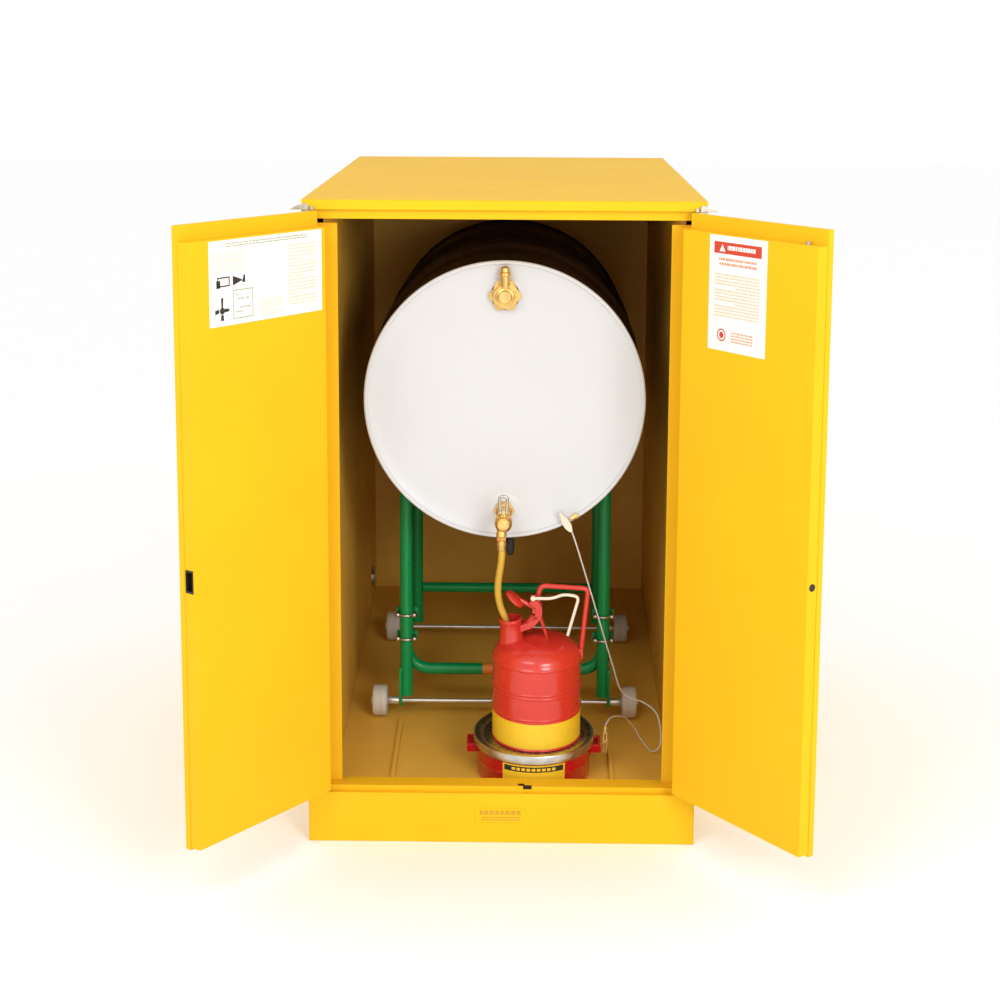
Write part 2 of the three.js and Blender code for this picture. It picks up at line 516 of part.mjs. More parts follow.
// ---------------------------------------------------------------- cans
// Both cans are drawn upright from the floor below their centre, then lean with the floor.
function buildCans(parent) {
  const group = new THREE.Group();
  group.position.set(CAN.x, CAN.y, floorZ(CAN.y));
  group.rotation.x = SLOPE;
  parent.add(group);
  const origin = vec(0, 0, 0);

  const R = CAN.drainRadius;
  const pot = turned([[0, GAP], [R - 4, GAP], [R, 4], [R, 40], [R + 1.5, 43], [R, 46], [R, 72],
    [R - 2, 72], [R - 2, 6], [0, 6]], Z, origin, 44);
  const handles = [-1, 1].map((sign) => {
    const plate = box([sign * (R - 1), sign * (R + 22)], [-24, 24], [50, 70]);
    return cut(plate, box([sign * (R + 6), sign * (R + 16)], [-14, 14], [40, 80]));
  });
  add(group, 'drain_can', join(pot, ...handles), MATERIAL.red);

  const rim = CAN.rimRadius;
  const deck = CAN.deck;
  const ring = turned([[0, deck - 4], [rim - 26, deck - 4], [rim - 22, 76], [R - 3, 76], [R - 3, 72 + GAP],
    [rim, 72 + GAP], [rim, 89], [rim - 3, 91], [rim - 12, 91], [rim - 20, deck], [0, deck]], Z, origin, 44);
  const drains = [0, 1, 2, 3].map((i) => {
    const angle = (Math.PI * (2 * i + 1)) / 4;
    return bar(vec(40 * Math.cos(angle), 40 * Math.sin(angle), 70),
      vec(40 * Math.cos(angle), 40 * Math.sin(angle), 95), 6, 12);
  });
  add(group, 'drain_can_rim', cut(ring, ...drains), MATERIAL.steel);

  buildSafetyCan(group, deck + GAP);
}

// The safety can's own centre is 5 mm to the right of the drain can's.
const MOUTH = vec(-51, 0, 347);
const LID_PIVOT = vec(0, 0, 364);
const TRIGGER_PIVOT = vec(-4, -12.5, 395);

function buildSafetyCan(group, base) {
  const cx = 5;
  const centre = vec(cx, 0, base);
  const r = CAN.radius;
  const outer = [[0, 0], [r - 3, 0], [r, 3], [r, 8], [r - 2, 11], [r - 2, 70], [r, 74], [r, 80], [r - 2, 84],
    [r - 2, 172], [r, 176], [r, 184], [r - 3, 189], [r - 14, 203], [r - 36, 216], [r - 62, 223], [0, 224]];
  const inner = [[0, 3], [r - 5, 3], [r - 5, 186], [r - 17, 200], [r - 38, 213], [0, 219]];
  const neckLow = vec(-46, 0, base + 190);
  const neck = bar(neckLow, MOUTH, 23.5, 24);
  const lip = bar(MOUTH.clone().lerp(neckLow, 0.09), MOUTH, 24.5, 24);
  const above = MOUTH.clone().sub(neckLow).setLength(6).add(MOUTH);
  const throat = bar(neckLow, above, 20.5, 24);
  const jaw = bar(vec(-32, 0, 326), vec(0, 0, 352), 5, 10);
  const yoke = box([-7, 7], [-12, 12], [347, 354]);
  const ears = [-1, 1].map((sign) => box([-7, 10], [sign * 10.5 - 1.5, sign * 10.5 + 1.5], [347, 388]));
  const stays = [-1, 1].map((sign) => bar(vec(28, sign * 10.5, base + 215), vec(6, sign * 10.5, 366), 2, 8));
  const shell = join(turned(outer, Z, centre, 44), neck, lip, jaw, yoke, ...ears, ...stays);
  add(group, 'safety_can', cut(shell, turned(inner, Z, centre, 44), throat), MATERIAL.red);

  // The lid is hinged behind the spout and stands open, clear of the hose.
  const hub = bar(vec(LID_PIVOT.x, -8.7, LID_PIVOT.z), vec(LID_PIVOT.x, 8.7, LID_PIVOT.z), 5.5, 14);
  const arm = bar(LID_PIVOT, vec(-30, 0, 383), 5, 10);
  const disc = bar(vec(-42, 0, 388), vec(-39.6, 0, 391.6), 22, 24, 20);
  add(group, 'can_lid', join(hub, arm, disc), MATERIAL.red);

  const grip = tube(bentPath([vec(3, 0, 380), vec(13, 0, 418), vec(109, 0, 411), vec(107, 0, 262)], 13),
    5, 8, 30);
  const foot = box([-5, 9], [-8.6, 8.6], [376, 387]);
  const lugs = box([-9, 8], [-8.6, -4], [390, 400]);
  const lugArm = box([3, 10], [-8.6, 0], [386, 400]);
  add(group, 'can_handle', join(grip, foot, lugs, lugArm), MATERIAL.red);

  // The trigger is a bent rod beside the handle, turning on the lug.
  const y = TRIGGER_PIVOT.y;
  const eye = bar(vec(TRIGGER_PIVOT.x, -15, TRIGGER_PIVOT.z), vec(TRIGGER_PIVOT.x, -9, TRIGGER_PIVOT.z), 5, 12);
  const rod = tube(bentPath([TRIGGER_PIVOT, vec(36, y, 395), vec(60, y, 405), vec(92, y, 400),
    vec(69, y, 313)], 12), 3.2, 8, 34);
  add(group, 'can_trigger', join(eye, rod), MATERIAL.wire);
}

function buildWireClip(group) {
  const jaws = box([214, 222], [186, 198], [118, 168]);
  const tail = bar(vec(218, 192, 160), vec(218.8, 203, 175), 4, 10);
  add(group, 'wire_clip', join(jaws, tail), MATERIAL.brass);
}

// ---------------------------------------------------------------- assembly
const assembly = new THREE.Group();
assembly.position.y = -CABINET.depth / 2;
buildShell(assembly);
buildVents(assembly);
const doors = {};
for (const [side, sign] of SIDES) {
  doors[side] = doorGroup(assembly, sign);
  buildDoor(doors[side], side, sign);
  buildHinge(assembly, doors[side], side, sign);
}
buildLatch(doors.right, doors.left);
buildDrum(assembly);
buildDrumVent(assembly);
buildFaucet(assembly);
buildCords(assembly);
buildGroundClamp(assembly);
buildCradle(assembly);
buildCans(assembly);
buildWireClip(assembly);

const part = new THREE.Group();
part.add(assembly);
export default part;
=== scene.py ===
# A horizontal-drum safety cabinet with its doors open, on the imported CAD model.
# Shapes are drawn in millimetres with the cabinet's front plane at y = 0, and placed in the row
# frame in metres, whose origin is the centre of the cabinet's underside.
import math
import random

import bpy
from mathutils import Matrix, Vector


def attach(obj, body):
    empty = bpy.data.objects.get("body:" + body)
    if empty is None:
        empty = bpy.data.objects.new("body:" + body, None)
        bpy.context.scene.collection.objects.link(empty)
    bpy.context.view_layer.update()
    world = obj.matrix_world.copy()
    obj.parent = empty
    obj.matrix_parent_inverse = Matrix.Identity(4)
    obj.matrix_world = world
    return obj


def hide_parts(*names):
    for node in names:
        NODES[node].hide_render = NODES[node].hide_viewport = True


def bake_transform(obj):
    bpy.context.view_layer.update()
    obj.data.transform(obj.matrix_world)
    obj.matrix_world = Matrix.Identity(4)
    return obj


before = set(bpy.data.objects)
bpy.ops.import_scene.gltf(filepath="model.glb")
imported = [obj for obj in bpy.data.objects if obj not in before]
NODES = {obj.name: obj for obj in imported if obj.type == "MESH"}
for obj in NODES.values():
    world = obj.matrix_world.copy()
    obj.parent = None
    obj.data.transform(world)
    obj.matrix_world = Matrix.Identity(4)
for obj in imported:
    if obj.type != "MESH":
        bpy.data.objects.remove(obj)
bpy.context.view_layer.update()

# ---------------------------------------------------------------- dimensions, in millimetres
HALF_DEPTH = 640.0
FLOOR_FRONT = 66.0
FLOOR_SLOPE = 0.084
LEAN = math.atan(FLOOR_SLOPE)

DOOR_HINGE = (373.0, -3.0)
DOOR_OPEN = math.radians(126.0)
DOOR_INNER = 36.0
LATCH_Z = 641.0
HANDLE_X = 70.0

DRUM_Z = 882.0
DRUM_FRONT = 200.0
DRUM_LENGTH = 880.0
DRUM_BODY = 286.0
DRUM_HOOP = 298.0
DRUM_CHIME = 293.0
HEAD_Y = 212.0
VENT_Z = 1102.0
FAUCET_Z = 647.0
FAUCET_Y = 120.0
LEVER_Z = 664.0

LEG_X = 222.0
LEG_FRONT = 449.0
LEG_REAR = 878.0
LEG_TUBE = 14.0
RAIL_Z = 652.0
BEND = 60.0
BRACE_Y = 476.3
BRACE_TUBE = 13.0
BRACE_BOTTOM = 206
BRACE_TOP = 372
CROSS_TUBE_Z = 277
BOLT_Z = (287.0, 343.0)
SADDLES = {"front": 540.0, "rear": 745.0}
SADDLE_HALF_WIDTH = 15
WHEEL_X = 282.0
WHEEL_R = 35.0
WHEEL_W = 34.0
AXLE_R = 5.0

CAN_X = 66.0
CAN_Y = 190.0
DRAIN_R = 120.0
RIM_R = 127.5
DECK = 84.0
DECK_HOLES = ((104, 40), (97, 36))
CAN_R = 95.0
CAN_BASE = 84.3
CAN_SHIFT = 5.0
CAN_MOUTH = (-51, 0, 347)
LID_PIVOT = (0, 0, 364)
TRIGGER_PIVOT = (-4, -12.5, 395)

WALL_VENTS = (("left", -1, 230), ("right", 1, 1180))
WALL_VENT_Y = 1120
LINER_X = 351.3

HOSE_R = 7.5
HOSE_ROUTE = [
    (-4, 120, 613.6), (-4, 120, 598), (-3, 122, 577), (-6, 128, 545), (-10.5, 137, 511),
    (-10.5, 147, 480), (-5.5, 155, 453), (3, 160, 429), (9, 163, 405),
]
WIRE_R = 1.6
WIRE_ROUTE = [
    (142, 191, 607), (148, 194, 590), (176, 219, 495), (206, 249, 390), (236, 282, 285),
    (256, 302, 221), (276, 312, 200), (306, 310, 190), (333, 296, 172), (343, 279, 136),
    (339, 262, 106), (326, 268, 93.5), (313, 295, 95.5), (302, 322, 102), (288, 328, 125),
    (270, 310, 152), (248, 272, 172), (229, 232, 181), (219, 206, 176),
]


def floor_z(y):
    return FLOOR_FRONT + FLOOR_SLOPE * y


def axle_z(y):
    return floor_z(y) + WHEEL_R / math.cos(LEAN)


# ---------------------------------------------------------------- placing
ROW = Matrix.Diagonal((0.001, 0.001, 0.001, 1.0)) @ Matrix.Translation((0, -HALF_DEPTH, 0))
CAN = Matrix.Translation((CAN_X, CAN_Y, floor_z(CAN_Y))) @ Matrix.Rotation(LEAN, 4, "X")


def door_place(sign):
    hinge = Matrix.Translation((sign * DOOR_HINGE[0], DOOR_HINGE[1], 0))
    return hinge @ Matrix.Rotation(sign * DOOR_OPEN, 4, "Z") @ hinge.inverted()


# ---------------------------------------------------------------- shapes: (points, faces)
def turned(profile, centre=(0, 0, 0), axis=(0, 0, 1), steps=72, closed=False):
    """A lathe piece: the profile is (radius, distance along the axis). closed joins its ends."""
    turn = Vector((0, 0, 1)).rotation_difference(Vector(axis)).to_matrix()
    base = Vector(centre)
    points = []
    rings = []
    for radius, along in profile:
        if radius < 1e-6:
            points.append(base + turn @ Vector((0, 0, along)))
            rings.append([len(points) - 1] * steps)
            continue
        ring = []
        for i in range(steps):
            a = 2 * math.pi * i / steps
            points.append(base + turn @ Vector((radius * math.cos(a), radius * math.sin(a), along)))
            ring.append(len(points) - 1)
        rings.append(ring)
    if closed:
        rings.append(rings[0])
    faces = []
    for low, high in zip(rings, rings[1:]):
        for i in range(steps):
            j = (i + 1) % steps
            face = [low[i], low[j], high[j], high[i]]
            unique = list(dict.fromkeys(face))
            if len(unique) > 2:
                faces.append(unique)
    return points, faces


def rod(start, end, radius, steps=24, chamfer=0.0):
    along = Vector(end) - Vector(start)
    length = along.length
    c = chamfer
    profile = [(0, 0), (radius - c, 0), (radius, c), (radius, length - c), (radius - c, length), (0, length)]
    if c == 0:
        profile = [(0, 0), (radius, 0), (radius, length), (0, length)]
    return turned(profile, start, along, steps)


def sweep(path, radius, steps=20):
    """A round tube along a line of points. radius is a number, or one number for each point."""
    line = [Vector(p) for p in path]
    count = len(line)
    radii = radius if isinstance(radius, (list, tuple)) else [radius] * count
    tangents = []
    for i in range(count):
        tangents.append((line[min(i + 1, count - 1)] - line[max(i - 1, 0)]).normalized())
    side = tangents[0].orthogonal().normalized()
    points = []
    rings = []
    for i in range(count):
        if i:
            side = tangents[i - 1].rotation_difference(tangents[i]) @ side
        other = tangents[i].cross(side)
        ring = []
        for k in range(steps):
            a = 2 * math.pi * k / steps
            points.append(line[i] + radii[i] * (math.cos(a) * side + math.sin(a) * other))
            ring.append(len(points) - 1)
        rings.append(ring)
    faces = []
    for low, high in zip(rings, rings[1:]):
        for k in range(steps):
            m = (k + 1) % steps
            faces.append([low[k], low[m], high[m], high[k]])
    faces.append(list(reversed(rings[0])))
    faces.append(list(rings[-1]))
    return points, faces


def bent(corners, bend, steps=10):
    """Straight runs through the corners, each corner rounded from bend before it to bend after."""
    corner_points = [Vector(c) for c in corners]
    line = [corner_points[0]]
    for before, here, after in zip(corner_points, corner_points[1:], corner_points[2:]):
        a = here + (before - here).normalized() * bend
        b = here + (after - here).normalized() * bend
        for i in range(steps + 1):
            t = i / steps
            line.append((1 - t) ** 2 * a + 2 * t * (1 - t) * here + t * t * b)
    line.append(corner_points[-1])
    return line


def smooth_line(route, steps=8):
    """A centripetal Catmull-Rom line through given points."""
    points = [Vector(p) for p in route]
    padded = [2 * points[0] - points[1]] + points + [2 * points[-1] - points[-2]]
    line = []
    for p0, p1, p2, p3 in zip(padded, padded[1:], padded[2:], padded[3:]):
        t0 = 0.0
        t1 = t0 + math.sqrt((p1 - p0).length)
        t2 = t1 + math.sqrt((p2 - p1).length)
        t3 = t2 + math.sqrt((p3 - p2).length)
        for i in range(steps):
            t = t1 + (t2 - t1) * i / steps
            a1 = p0 * ((t1 - t) / (t1 - t0)) + p1 * ((t - t0) / (t1 - t0))
            a2 = p1 * ((t2 - t) / (t2 - t1)) + p2 * ((t - t1) / (t2 - t1))
            a3 = p2 * ((t3 - t) / (t3 - t2)) + p3 * ((t - t2) / (t3 - t2))
            b1 = a1 * ((t2 - t) / (t2 - t0)) + a2 * ((t - t0) / (t2 - t0))
            b2 = a2 * ((t3 - t) / (t3 - t1)) + a3 * ((t - t1) / (t3 - t1))
            line.append(b1 * ((t2 - t) / (t2 - t1)) + b2 * ((t - t1) / (t2 - t1)))
    line.append(points[-1])
    return line


def block(x, y, z):
    xs, ys, zs = sorted(x), sorted(y), sorted(z)
    points = [Vector((a, b, c)) for c in zs for b in ys for a in xs]
    faces = [(0, 2, 3, 1), (4, 5, 7, 6), (0, 1, 5, 4), (1, 3, 7, 5), (3, 2, 6, 7), (2, 0, 4, 6)]
    return points, faces


def prism(outline, low, high, plane="xz"):
    """A flat outline carried along the third axis. plane, xz or yz, names the outline's axes."""
    count = len(outline)
    points = []
    for along in (low, high):
        for a, b in outline:
            if plane == "xz":
                points.append(Vector((a, along, b)))
            else:
                points.append(Vector((along, a, b)))
    faces = [list(range(count)), list(range(2 * count - 1, count - 1, -1))]
    for i in range(count):
        j = (i + 1) % count
        faces.append([j, i, i + count, j + count])
    return points, faces


def polygon(sides, radius, cx=0.0, cy=0.0, turn=0.0):
    return [(cx + radius * math.cos(turn + 2 * math.pi * i / sides),
             cy + radius * math.sin(turn + 2 * math.pi * i / sides)) for i in range(sides)]


def arc(cx, cy, radius, start, end, steps=8):
    """Points along an arc, from start to end in degrees."""
    line = []
    for i in range(steps + 1):
        a = math.radians(start + (end - start) * i / steps)
        line.append((cx + radius * math.cos(a), cy + radius * math.sin(a)))
    return line


# ---------------------------------------------------------------- pieces
def piece(name, material, shapes, body, place=None, stands_for=(), bevel=0.0, angle=35):
    """One object made of shapes in millimetres. It rides on a CAD body, unless body is None."""
    matrix = ROW if place is None else ROW @ place
    points = []
    faces = []
    for shape_points, shape_faces in shapes:
        start = len(points)
        points.extend(matrix @ Vector(p) for p in shape_points)
        faces.extend([start + i for i in face] for face in shape_faces)
    mesh = bpy.data.meshes.new(name)
    mesh.from_pydata([tuple(p) for p in points], [], faces)
    mesh.validate()
    mesh.materials.append(material)
    obj = bpy.data.objects.new(name, mesh)
    bpy.context.scene.collection.objects.link(obj)
    bpy.context.view_layer.objects.active = obj
    obj.select_set(True)
    bpy.ops.object.mode_set(mode="EDIT")
    bpy.ops.mesh.select_all(action="SELECT")
    bpy.ops.mesh.normals_make_consistent(inside=False)
    bpy.ops.object.mode_set(mode="OBJECT")
    obj.select_set(False)
    mesh.polygons.foreach_set("use_smooth", [True] * len(mesh.polygons))
    mesh.set_sharp_from_angle(angle=math.radians(angle))
    if bevel:
        soften(obj, bevel)
    if body:
        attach(obj, body)
    if stands_for:
        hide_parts(*stands_for)
    return obj


def soften(obj, width, segments=2, miter="MITER_SHARP"):
    edge = obj.modifiers.new("soft edges", "BEVEL")
    edge.width = width * 0.001
    edge.segments = segments
    edge.miter_outer = miter
    edge.limit_method = "ANGLE"
    edge.angle_limit = math.radians(35)
    edge.harden_normals = True


# ---------------------------------------------------------------- materials
def new_material(name):
    material = bpy.data.materials.new(name)
    material.use_nodes = True
    nodes = material.node_tree.nodes
    return material, nodes, material.node_tree.links, nodes["Principled BSDF"]


def noise(nodes, links, scale, detail=3.0, stretch=(1, 1, 1)):
    place = nodes.new("ShaderNodeTexCoord")
    mapping = nodes.new("ShaderNodeMapping")
    mapping.inputs["Scale"].default_value = stretch
    texture = nodes.new("ShaderNodeTexNoise")
    texture.inputs["Scale"].default_value = scale
    texture.inputs["Detail"].default_value = detail
    links.new(place.outputs["Object"], mapping.inputs["Vector"])
    links.new(mapping.outputs["Vector"], texture.inputs["Vector"])
    return texture.outputs["Fac"]


def ramp(nodes, links, value, stops):
    chooser = nodes.new("ShaderNodeValToRGB")
    links.new(value, chooser.inputs["Fac"])
    elements = chooser.color_ramp.elements
    elements[0].position = stops[0][0]
    elements[0].color = (*stops[0][1], 1)
    elements[1].position = stops[-1][0]
    elements[1].color = (*stops[-1][1], 1)
    for position, color in stops[1:-1]:
        element = elements.new(position)
        element.color = (*color, 1)
    return chooser.outputs["Color"]


def spread(nodes, links, value, low, high):
    mapping = nodes.new("ShaderNodeMapRange")
    mapping.inputs["To Min"].default_value = low
    mapping.inputs["To Max"].default_value = high
    links.new(value, mapping.inputs["Value"])
    return mapping.outputs["Result"]


def bump(nodes, links, shader, height, strength, distance):
    relief = nodes.new("ShaderNodeBump")
    relief.inputs["Strength"].default_value = strength
    relief.inputs["Distance"].default_value = distance
    links.new(height, relief.inputs["Height"])
    links.new(relief.outputs["Normal"], shader.inputs["Normal"])


def shade(color, factor):
    return tuple(c * factor for c in color)


def painted(name, color, rough=0.38, wear=0.9, peel=0.18, coat=0.0, shine=0.5):
    """Sprayed paint: slow changes of tone, a fine orange peel and uneven gloss."""
    material, nodes, links, shader = new_material(name)
    tone = noise(nodes, links, 5.0, 4.0)
    tint = ramp(nodes, links, tone, [(0.3, shade(color, wear)), (0.7, color)])
    links.new(tint, shader.inputs["Base Color"])
    gloss = noise(nodes, links, 22.0, 5.0)
    links.new(spread(nodes, links, gloss, rough - 0.07, rough + 0.09), shader.inputs["Roughness"])
    bump(nodes, links, shader, noise(nodes, links, 420.0, 2.0), peel, 0.0006)
    shader.inputs["Coat Weight"].default_value = coat
    shader.inputs["Specular IOR Level"].default_value = shine
    return material


def metal(name, color, rough=0.3, dark=0.6, grain=160.0, stretch=(1, 1, 1), strength=0.15, metallic=1.0):
    """Bare or plated metal: small stains, uneven polish and a fine grain."""
    material, nodes, links, shader = new_material(name)
    stain = noise(nodes, links, 45.0, 6.0)
    tint = ramp(nodes, links, stain, [(0.32, shade(color, dark)), (0.62, color)])
    links.new(tint, shader.inputs["Base Color"])
    polish = noise(nodes, links, 90.0, 4.0, stretch)
    links.new(spread(nodes, links, polish, rough - 0.1, rough + 0.15), shader.inputs["Roughness"])
    bump(nodes, links, shader, noise(nodes, links, grain, 3.0, stretch), strength, 0.0008)
    shader.inputs["Metallic"].default_value = metallic
    return material


def braided(name, color, dark, pitch, metallic):
    """Fine wire braid: two crossed sets of bands, with painted shade between the strands."""
    material, nodes, links, shader = new_material(name)
    place = nodes.new("ShaderNodeTexCoord")
    heights = []
    for tilt in (0.7, -0.7):
        mapping = nodes.new("ShaderNodeMapping")
        mapping.inputs["Rotation"].default_value = (0.3, tilt, 0)
        waves = nodes.new("ShaderNodeTexWave")
        waves.bands_direction = "Z"
        waves.inputs["Scale"].default_value = pitch
        waves.inputs["Distortion"].default_value = 0.4
        links.new(place.outputs["Object"], mapping.inputs["Vector"])
        links.new(mapping.outputs["Vector"], waves.inputs["Vector"])
        heights.append(waves.outputs["Fac"])
    both = nodes.new("ShaderNodeMath")
    both.operation = "MULTIPLY"
    links.new(heights[0], both.inputs[0])
    links.new(heights[1], both.inputs[1])
    # Where both sets of bands are low the colour turns to the darker one: painted shade in the gaps between
    # strands.
    tint = ramp(nodes, links, both.outputs["Value"], [(0.02, dark), (0.5, color)])
    links.new(tint, shader.inputs["Base Color"])
    bump(nodes, links, shader, both.outputs["Value"], 0.5, 0.0008)
    shader.inputs["Roughness"].default_value = 0.38
    shader.inputs["Metallic"].default_value = metallic
    return material


def printed(name, color, rough=0.5):
    """Label stock: almost even colour with a faint mottle."""
    material, nodes, links, shader = new_material(name)
    tone = noise(nodes, links, 60.0, 4.0)
    tint = ramp(nodes, links, tone, [(0.3, shade(color, 0.94)), (0.7, color)])
    links.new(tint, shader.inputs["Base Color"])
    bump(nodes, links, shader, noise(nodes, links, 300.0, 2.0), 0.05, 0.0003)
    shader.inputs["Roughness"].default_value = rough
    return material


YELLOW = (0.86, 0.50, 0.014)
MAT = {
    "yellow": painted("cabinet powder coat", YELLOW, 0.5, 0.95, shine=0.08),
    "lining": painted("lining powder coat", (0.86, 0.50, 0.07), 0.5, 0.88, shine=0.4),
    "drum": painted("drum enamel", (0.030, 0.012, 0.005), 0.42, 0.7, 0.2),
    "white": painted("drum head enamel", (0.65, 0.67, 0.69), 0.4, 0.97, 0.15),
    "green": painted("cradle enamel", (0.0, 0.33, 0.085), 0.3, 0.85, 0.15, 0.1, 0.35),
    "red": painted("can enamel", (0.64, 0.034, 0.022), 0.25, 0.85, 0.15, 0.3),
    "red_dark": painted("drain can enamel", (0.52, 0.008, 0.010), 0.25, 0.85, 0.15, 0.4),
    "cream": painted("trigger coating", (0.80, 0.74, 0.60), 0.35, 0.9, 0.1),
    "brass": metal("cast brass", (0.86, 0.58, 0.20), 0.34, 0.7, 240.0, strength=0.3, metallic=0.85),
    # A lighter, less metallic copy of the cast brass: painted sheen, so the screw and the clip look lit
    # instead of showing dark reflections.
    "brass_painted_sheen": metal("brass with painted sheen", (0.90, 0.62, 0.20), 0.24, 0.8, 300.0, metallic=0.6),
    "steel": metal("plated steel", (0.62, 0.61, 0.58), 0.3, 0.7, 200.0),
    "axle": metal("drawn steel", (0.78, 0.74, 0.66), 0.3, 0.85, 120.0, (0.2, 1, 1), 0.05, 0.75),
    "wheel": painted("wheel casting", (0.70, 0.67, 0.58), 0.55, 0.72, 0.5),
    "black": painted("black hardware", (0.020, 0.017, 0.014), 0.4, 0.7, 0.3),
    "rubber": painted("black rubber", (0.014, 0.012, 0.011), 0.7, 0.7, 0.4),
    # The second colour of each braid is painted shade between its strands.
    "hose": braided("hose braid", (0.90, 0.62, 0.10), (0.55, 0.33, 0.03), 260.0, 0.2),
    "wire": braided("bonding wire", (0.92, 0.90, 0.84), (0.70, 0.68, 0.62), 420.0, 0.0),
    "label": printed("label stock", (0.86, 0.87, 0.86)),
    "label_yellow": printed("yellow label", (0.86, 0.56, 0.02)),
    "label_orange": printed("orange label", (0.80, 0.22, 0.02)),
    "ink_grey": printed("grey ink", (0.40, 0.41, 0.24)),
    "ink_pale": printed("pale ink", (0.66, 0.67, 0.48)),
    "ink_peach": printed("peach ink", (0.80, 0.56, 0.34)),
    "ink_black": printed("black ink", (0.025, 0.022, 0.02)),
    "ink_red": printed("red ink", (0.62, 0.05, 0.02)),
    "ink_orange": printed("orange ink", (0.75, 0.30, 0.16)),
    # A darker copy of the cabinet yellow: painted shade on the raised rows of the plinth plate.
    "embossing_shade": printed("painted shade on embossing", (0.60, 0.34, 0.01)),
    # Near-black painted shade: the darkness inside holes and slots, laid on as thin discs and blocks.
    "hole_shade": painted("painted shade of an opening", (0.006, 0.005, 0.004), 0.8, 0.7, 0.3),
}

# ---------------------------------------------------------------- camera, in metres and radians
CAMERA_AT = (0.04857, -4.29494, 1.6391)
CAMERA_PITCH = 0.167
CAMERA_YAW = 0.0152
CAMERA_ROLL = 0.0048
CAMERA_LENS = 68.115
CAMERA_SENSOR = 36
CAMERA_SHIFT = -0.15
camera_data = bpy.data.cameras.new("camera")
camera_data.lens = CAMERA_LENS
camera_data.sensor_width = CAMERA_SENSOR
camera_data.shift_y = CAMERA_SHIFT
camera = bpy.data.objects.new("camera", camera_data)
bpy.context.scene.collection.objects.link(camera)
camera.matrix_world = (
    Matrix.Translation(CAMERA_AT)
    @ Matrix.Rotation(CAMERA_YAW, 4, "Z")
    @ Matrix.Rotation(math.pi / 2 - CAMERA_PITCH, 4, "X")
    @ Matrix.Rotation(CAMERA_ROLL, 4, "Z")
)
bpy.context.scene.camera = camera


# ---------------------------------------------------------------- hose and bonding wire
def cord_piece(name, node, route, radius, material, steps, ripple):
    """A cord from the cradle to the cabinet, which bends between its start and end points."""
    line = smooth_line(route, steps)
    radii = [radius * (1 - ripple * (i % 2)) for i in range(len(line))]
    obj = piece(name, material, [sweep(line, radii, 16)], None, stands_for=(node,), angle=60)
    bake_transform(obj)


upper_ferrule = piece("upper_hose_ferrule", MAT["brass"], [
    rod((-4, 120, 613.4), (-4, 120, 606), 10.5, 6),
    rod((-4, 120, 606), (-3.6, 121, 584), 9.2, 32, chamfer=1),
    rod((-3.9, 120.4, 598), (-3.8, 120.6, 595), 9.9, 32, chamfer=0.8),
], "cradle", bevel=0.4)
lower_ferrule = piece("lower_hose_ferrule", MAT["brass"], [
    rod((8.4, 162.7, 407), (10.5, 163.6, 398), 9.0, 32, chamfer=1),
], "cabinet", bevel=0.4)
cord_piece("dispensing_hose", "hose", HOSE_ROUTE, HOSE_R, MAT["hose"], 14, 0.06)
cord_piece("bonding_lead", "bonding_wire", WIRE_ROUTE, WIRE_R, MAT["wire"], 10, 0.0)

# ---------------------------------------------------------------- drum
def hoop(y):
    """A rolled hoop round the drum, centred at y."""
    rise = DRUM_HOOP - DRUM_BODY
    return [(DRUM_BODY + rise * 0.5 * (1 + math.cos(math.pi * t / 8)), y + 2 * t) for t in range(-8, 9)]


back = DRUM_FRONT + DRUM_LENGTH
shell = [(0, back - 14), (DRUM_BODY - 2, back - 14), (DRUM_BODY - 2, DRUM_FRONT + 6)]
shell += arc(DRUM_CHIME - 4.2, DRUM_FRONT + 4.2, 4.2, 180, 360, 10)
shell += [(DRUM_CHIME, DRUM_FRONT + 9), (DRUM_BODY + 3, DRUM_FRONT + 12), (DRUM_BODY, DRUM_FRONT + 18)]
shell += hoop(DRUM_FRONT + DRUM_LENGTH / 3)
shell += hoop(DRUM_FRONT + 2 * DRUM_LENGTH / 3)
shell += [(DRUM_BODY, back - 18), (DRUM_BODY + 3, back - 12), (DRUM_CHIME, back - 9)]
shell += arc(DRUM_CHIME - 4.2, back - 4.2, 4.2, 0, 180, 10)
shell += [(DRUM_BODY - 1, back - 12), (0, back - 12)]
piece("drum_body", MAT["drum"], [turned(shell, (0, 0, DRUM_Z), (0, 1, 0), 192)], "cradle",
      stands_for=("drum_shell",))
bead_arc = arc(DRUM_CHIME - 4.2, DRUM_FRONT + 4.2, 4.5, 185, 400, 16)
piece("drum_chime_bead", MAT["white"], [
    turned(bead_arc, (0, 0, DRUM_Z), (0, 1, 0), 192, closed=True),
], "cradle")

head = [(0, HEAD_Y), (250, HEAD_Y), (266, HEAD_Y - 1.5), (278, HEAD_Y - 4.5), (286, HEAD_Y - 8.5)]
head += [(286.5, HEAD_Y - 6), (283.6, HEAD_Y + 2), (0, HEAD_Y + 2)]
bosses = []
for z in (VENT_Z, FAUCET_Z):
    ring = [(15, HEAD_Y + 1), (40, HEAD_Y + 1), (31, HEAD_Y - 1.5), (27, HEAD_Y - 3), (15, HEAD_Y - 3)]
    bosses.append(turned(ring, (0, 0, z), (0, 1, 0), 48, closed=True))
piece("drum_head", MAT["white"], [turned(head, (0, 0, DRUM_Z), (0, 1, 0), 192)] + bosses, "cradle",
      stands_for=("drum_head",))

piece("drum_rest_knob", MAT["rubber"], [
    turned([(0, 0), (4, 0), (4, 9), (7, 13), (9, 22), (9.4, 34), (8, 46), (5, 54), (0, 56)],
           (13, 232, 597), (0, 0, -1), 32),
], "cradle")

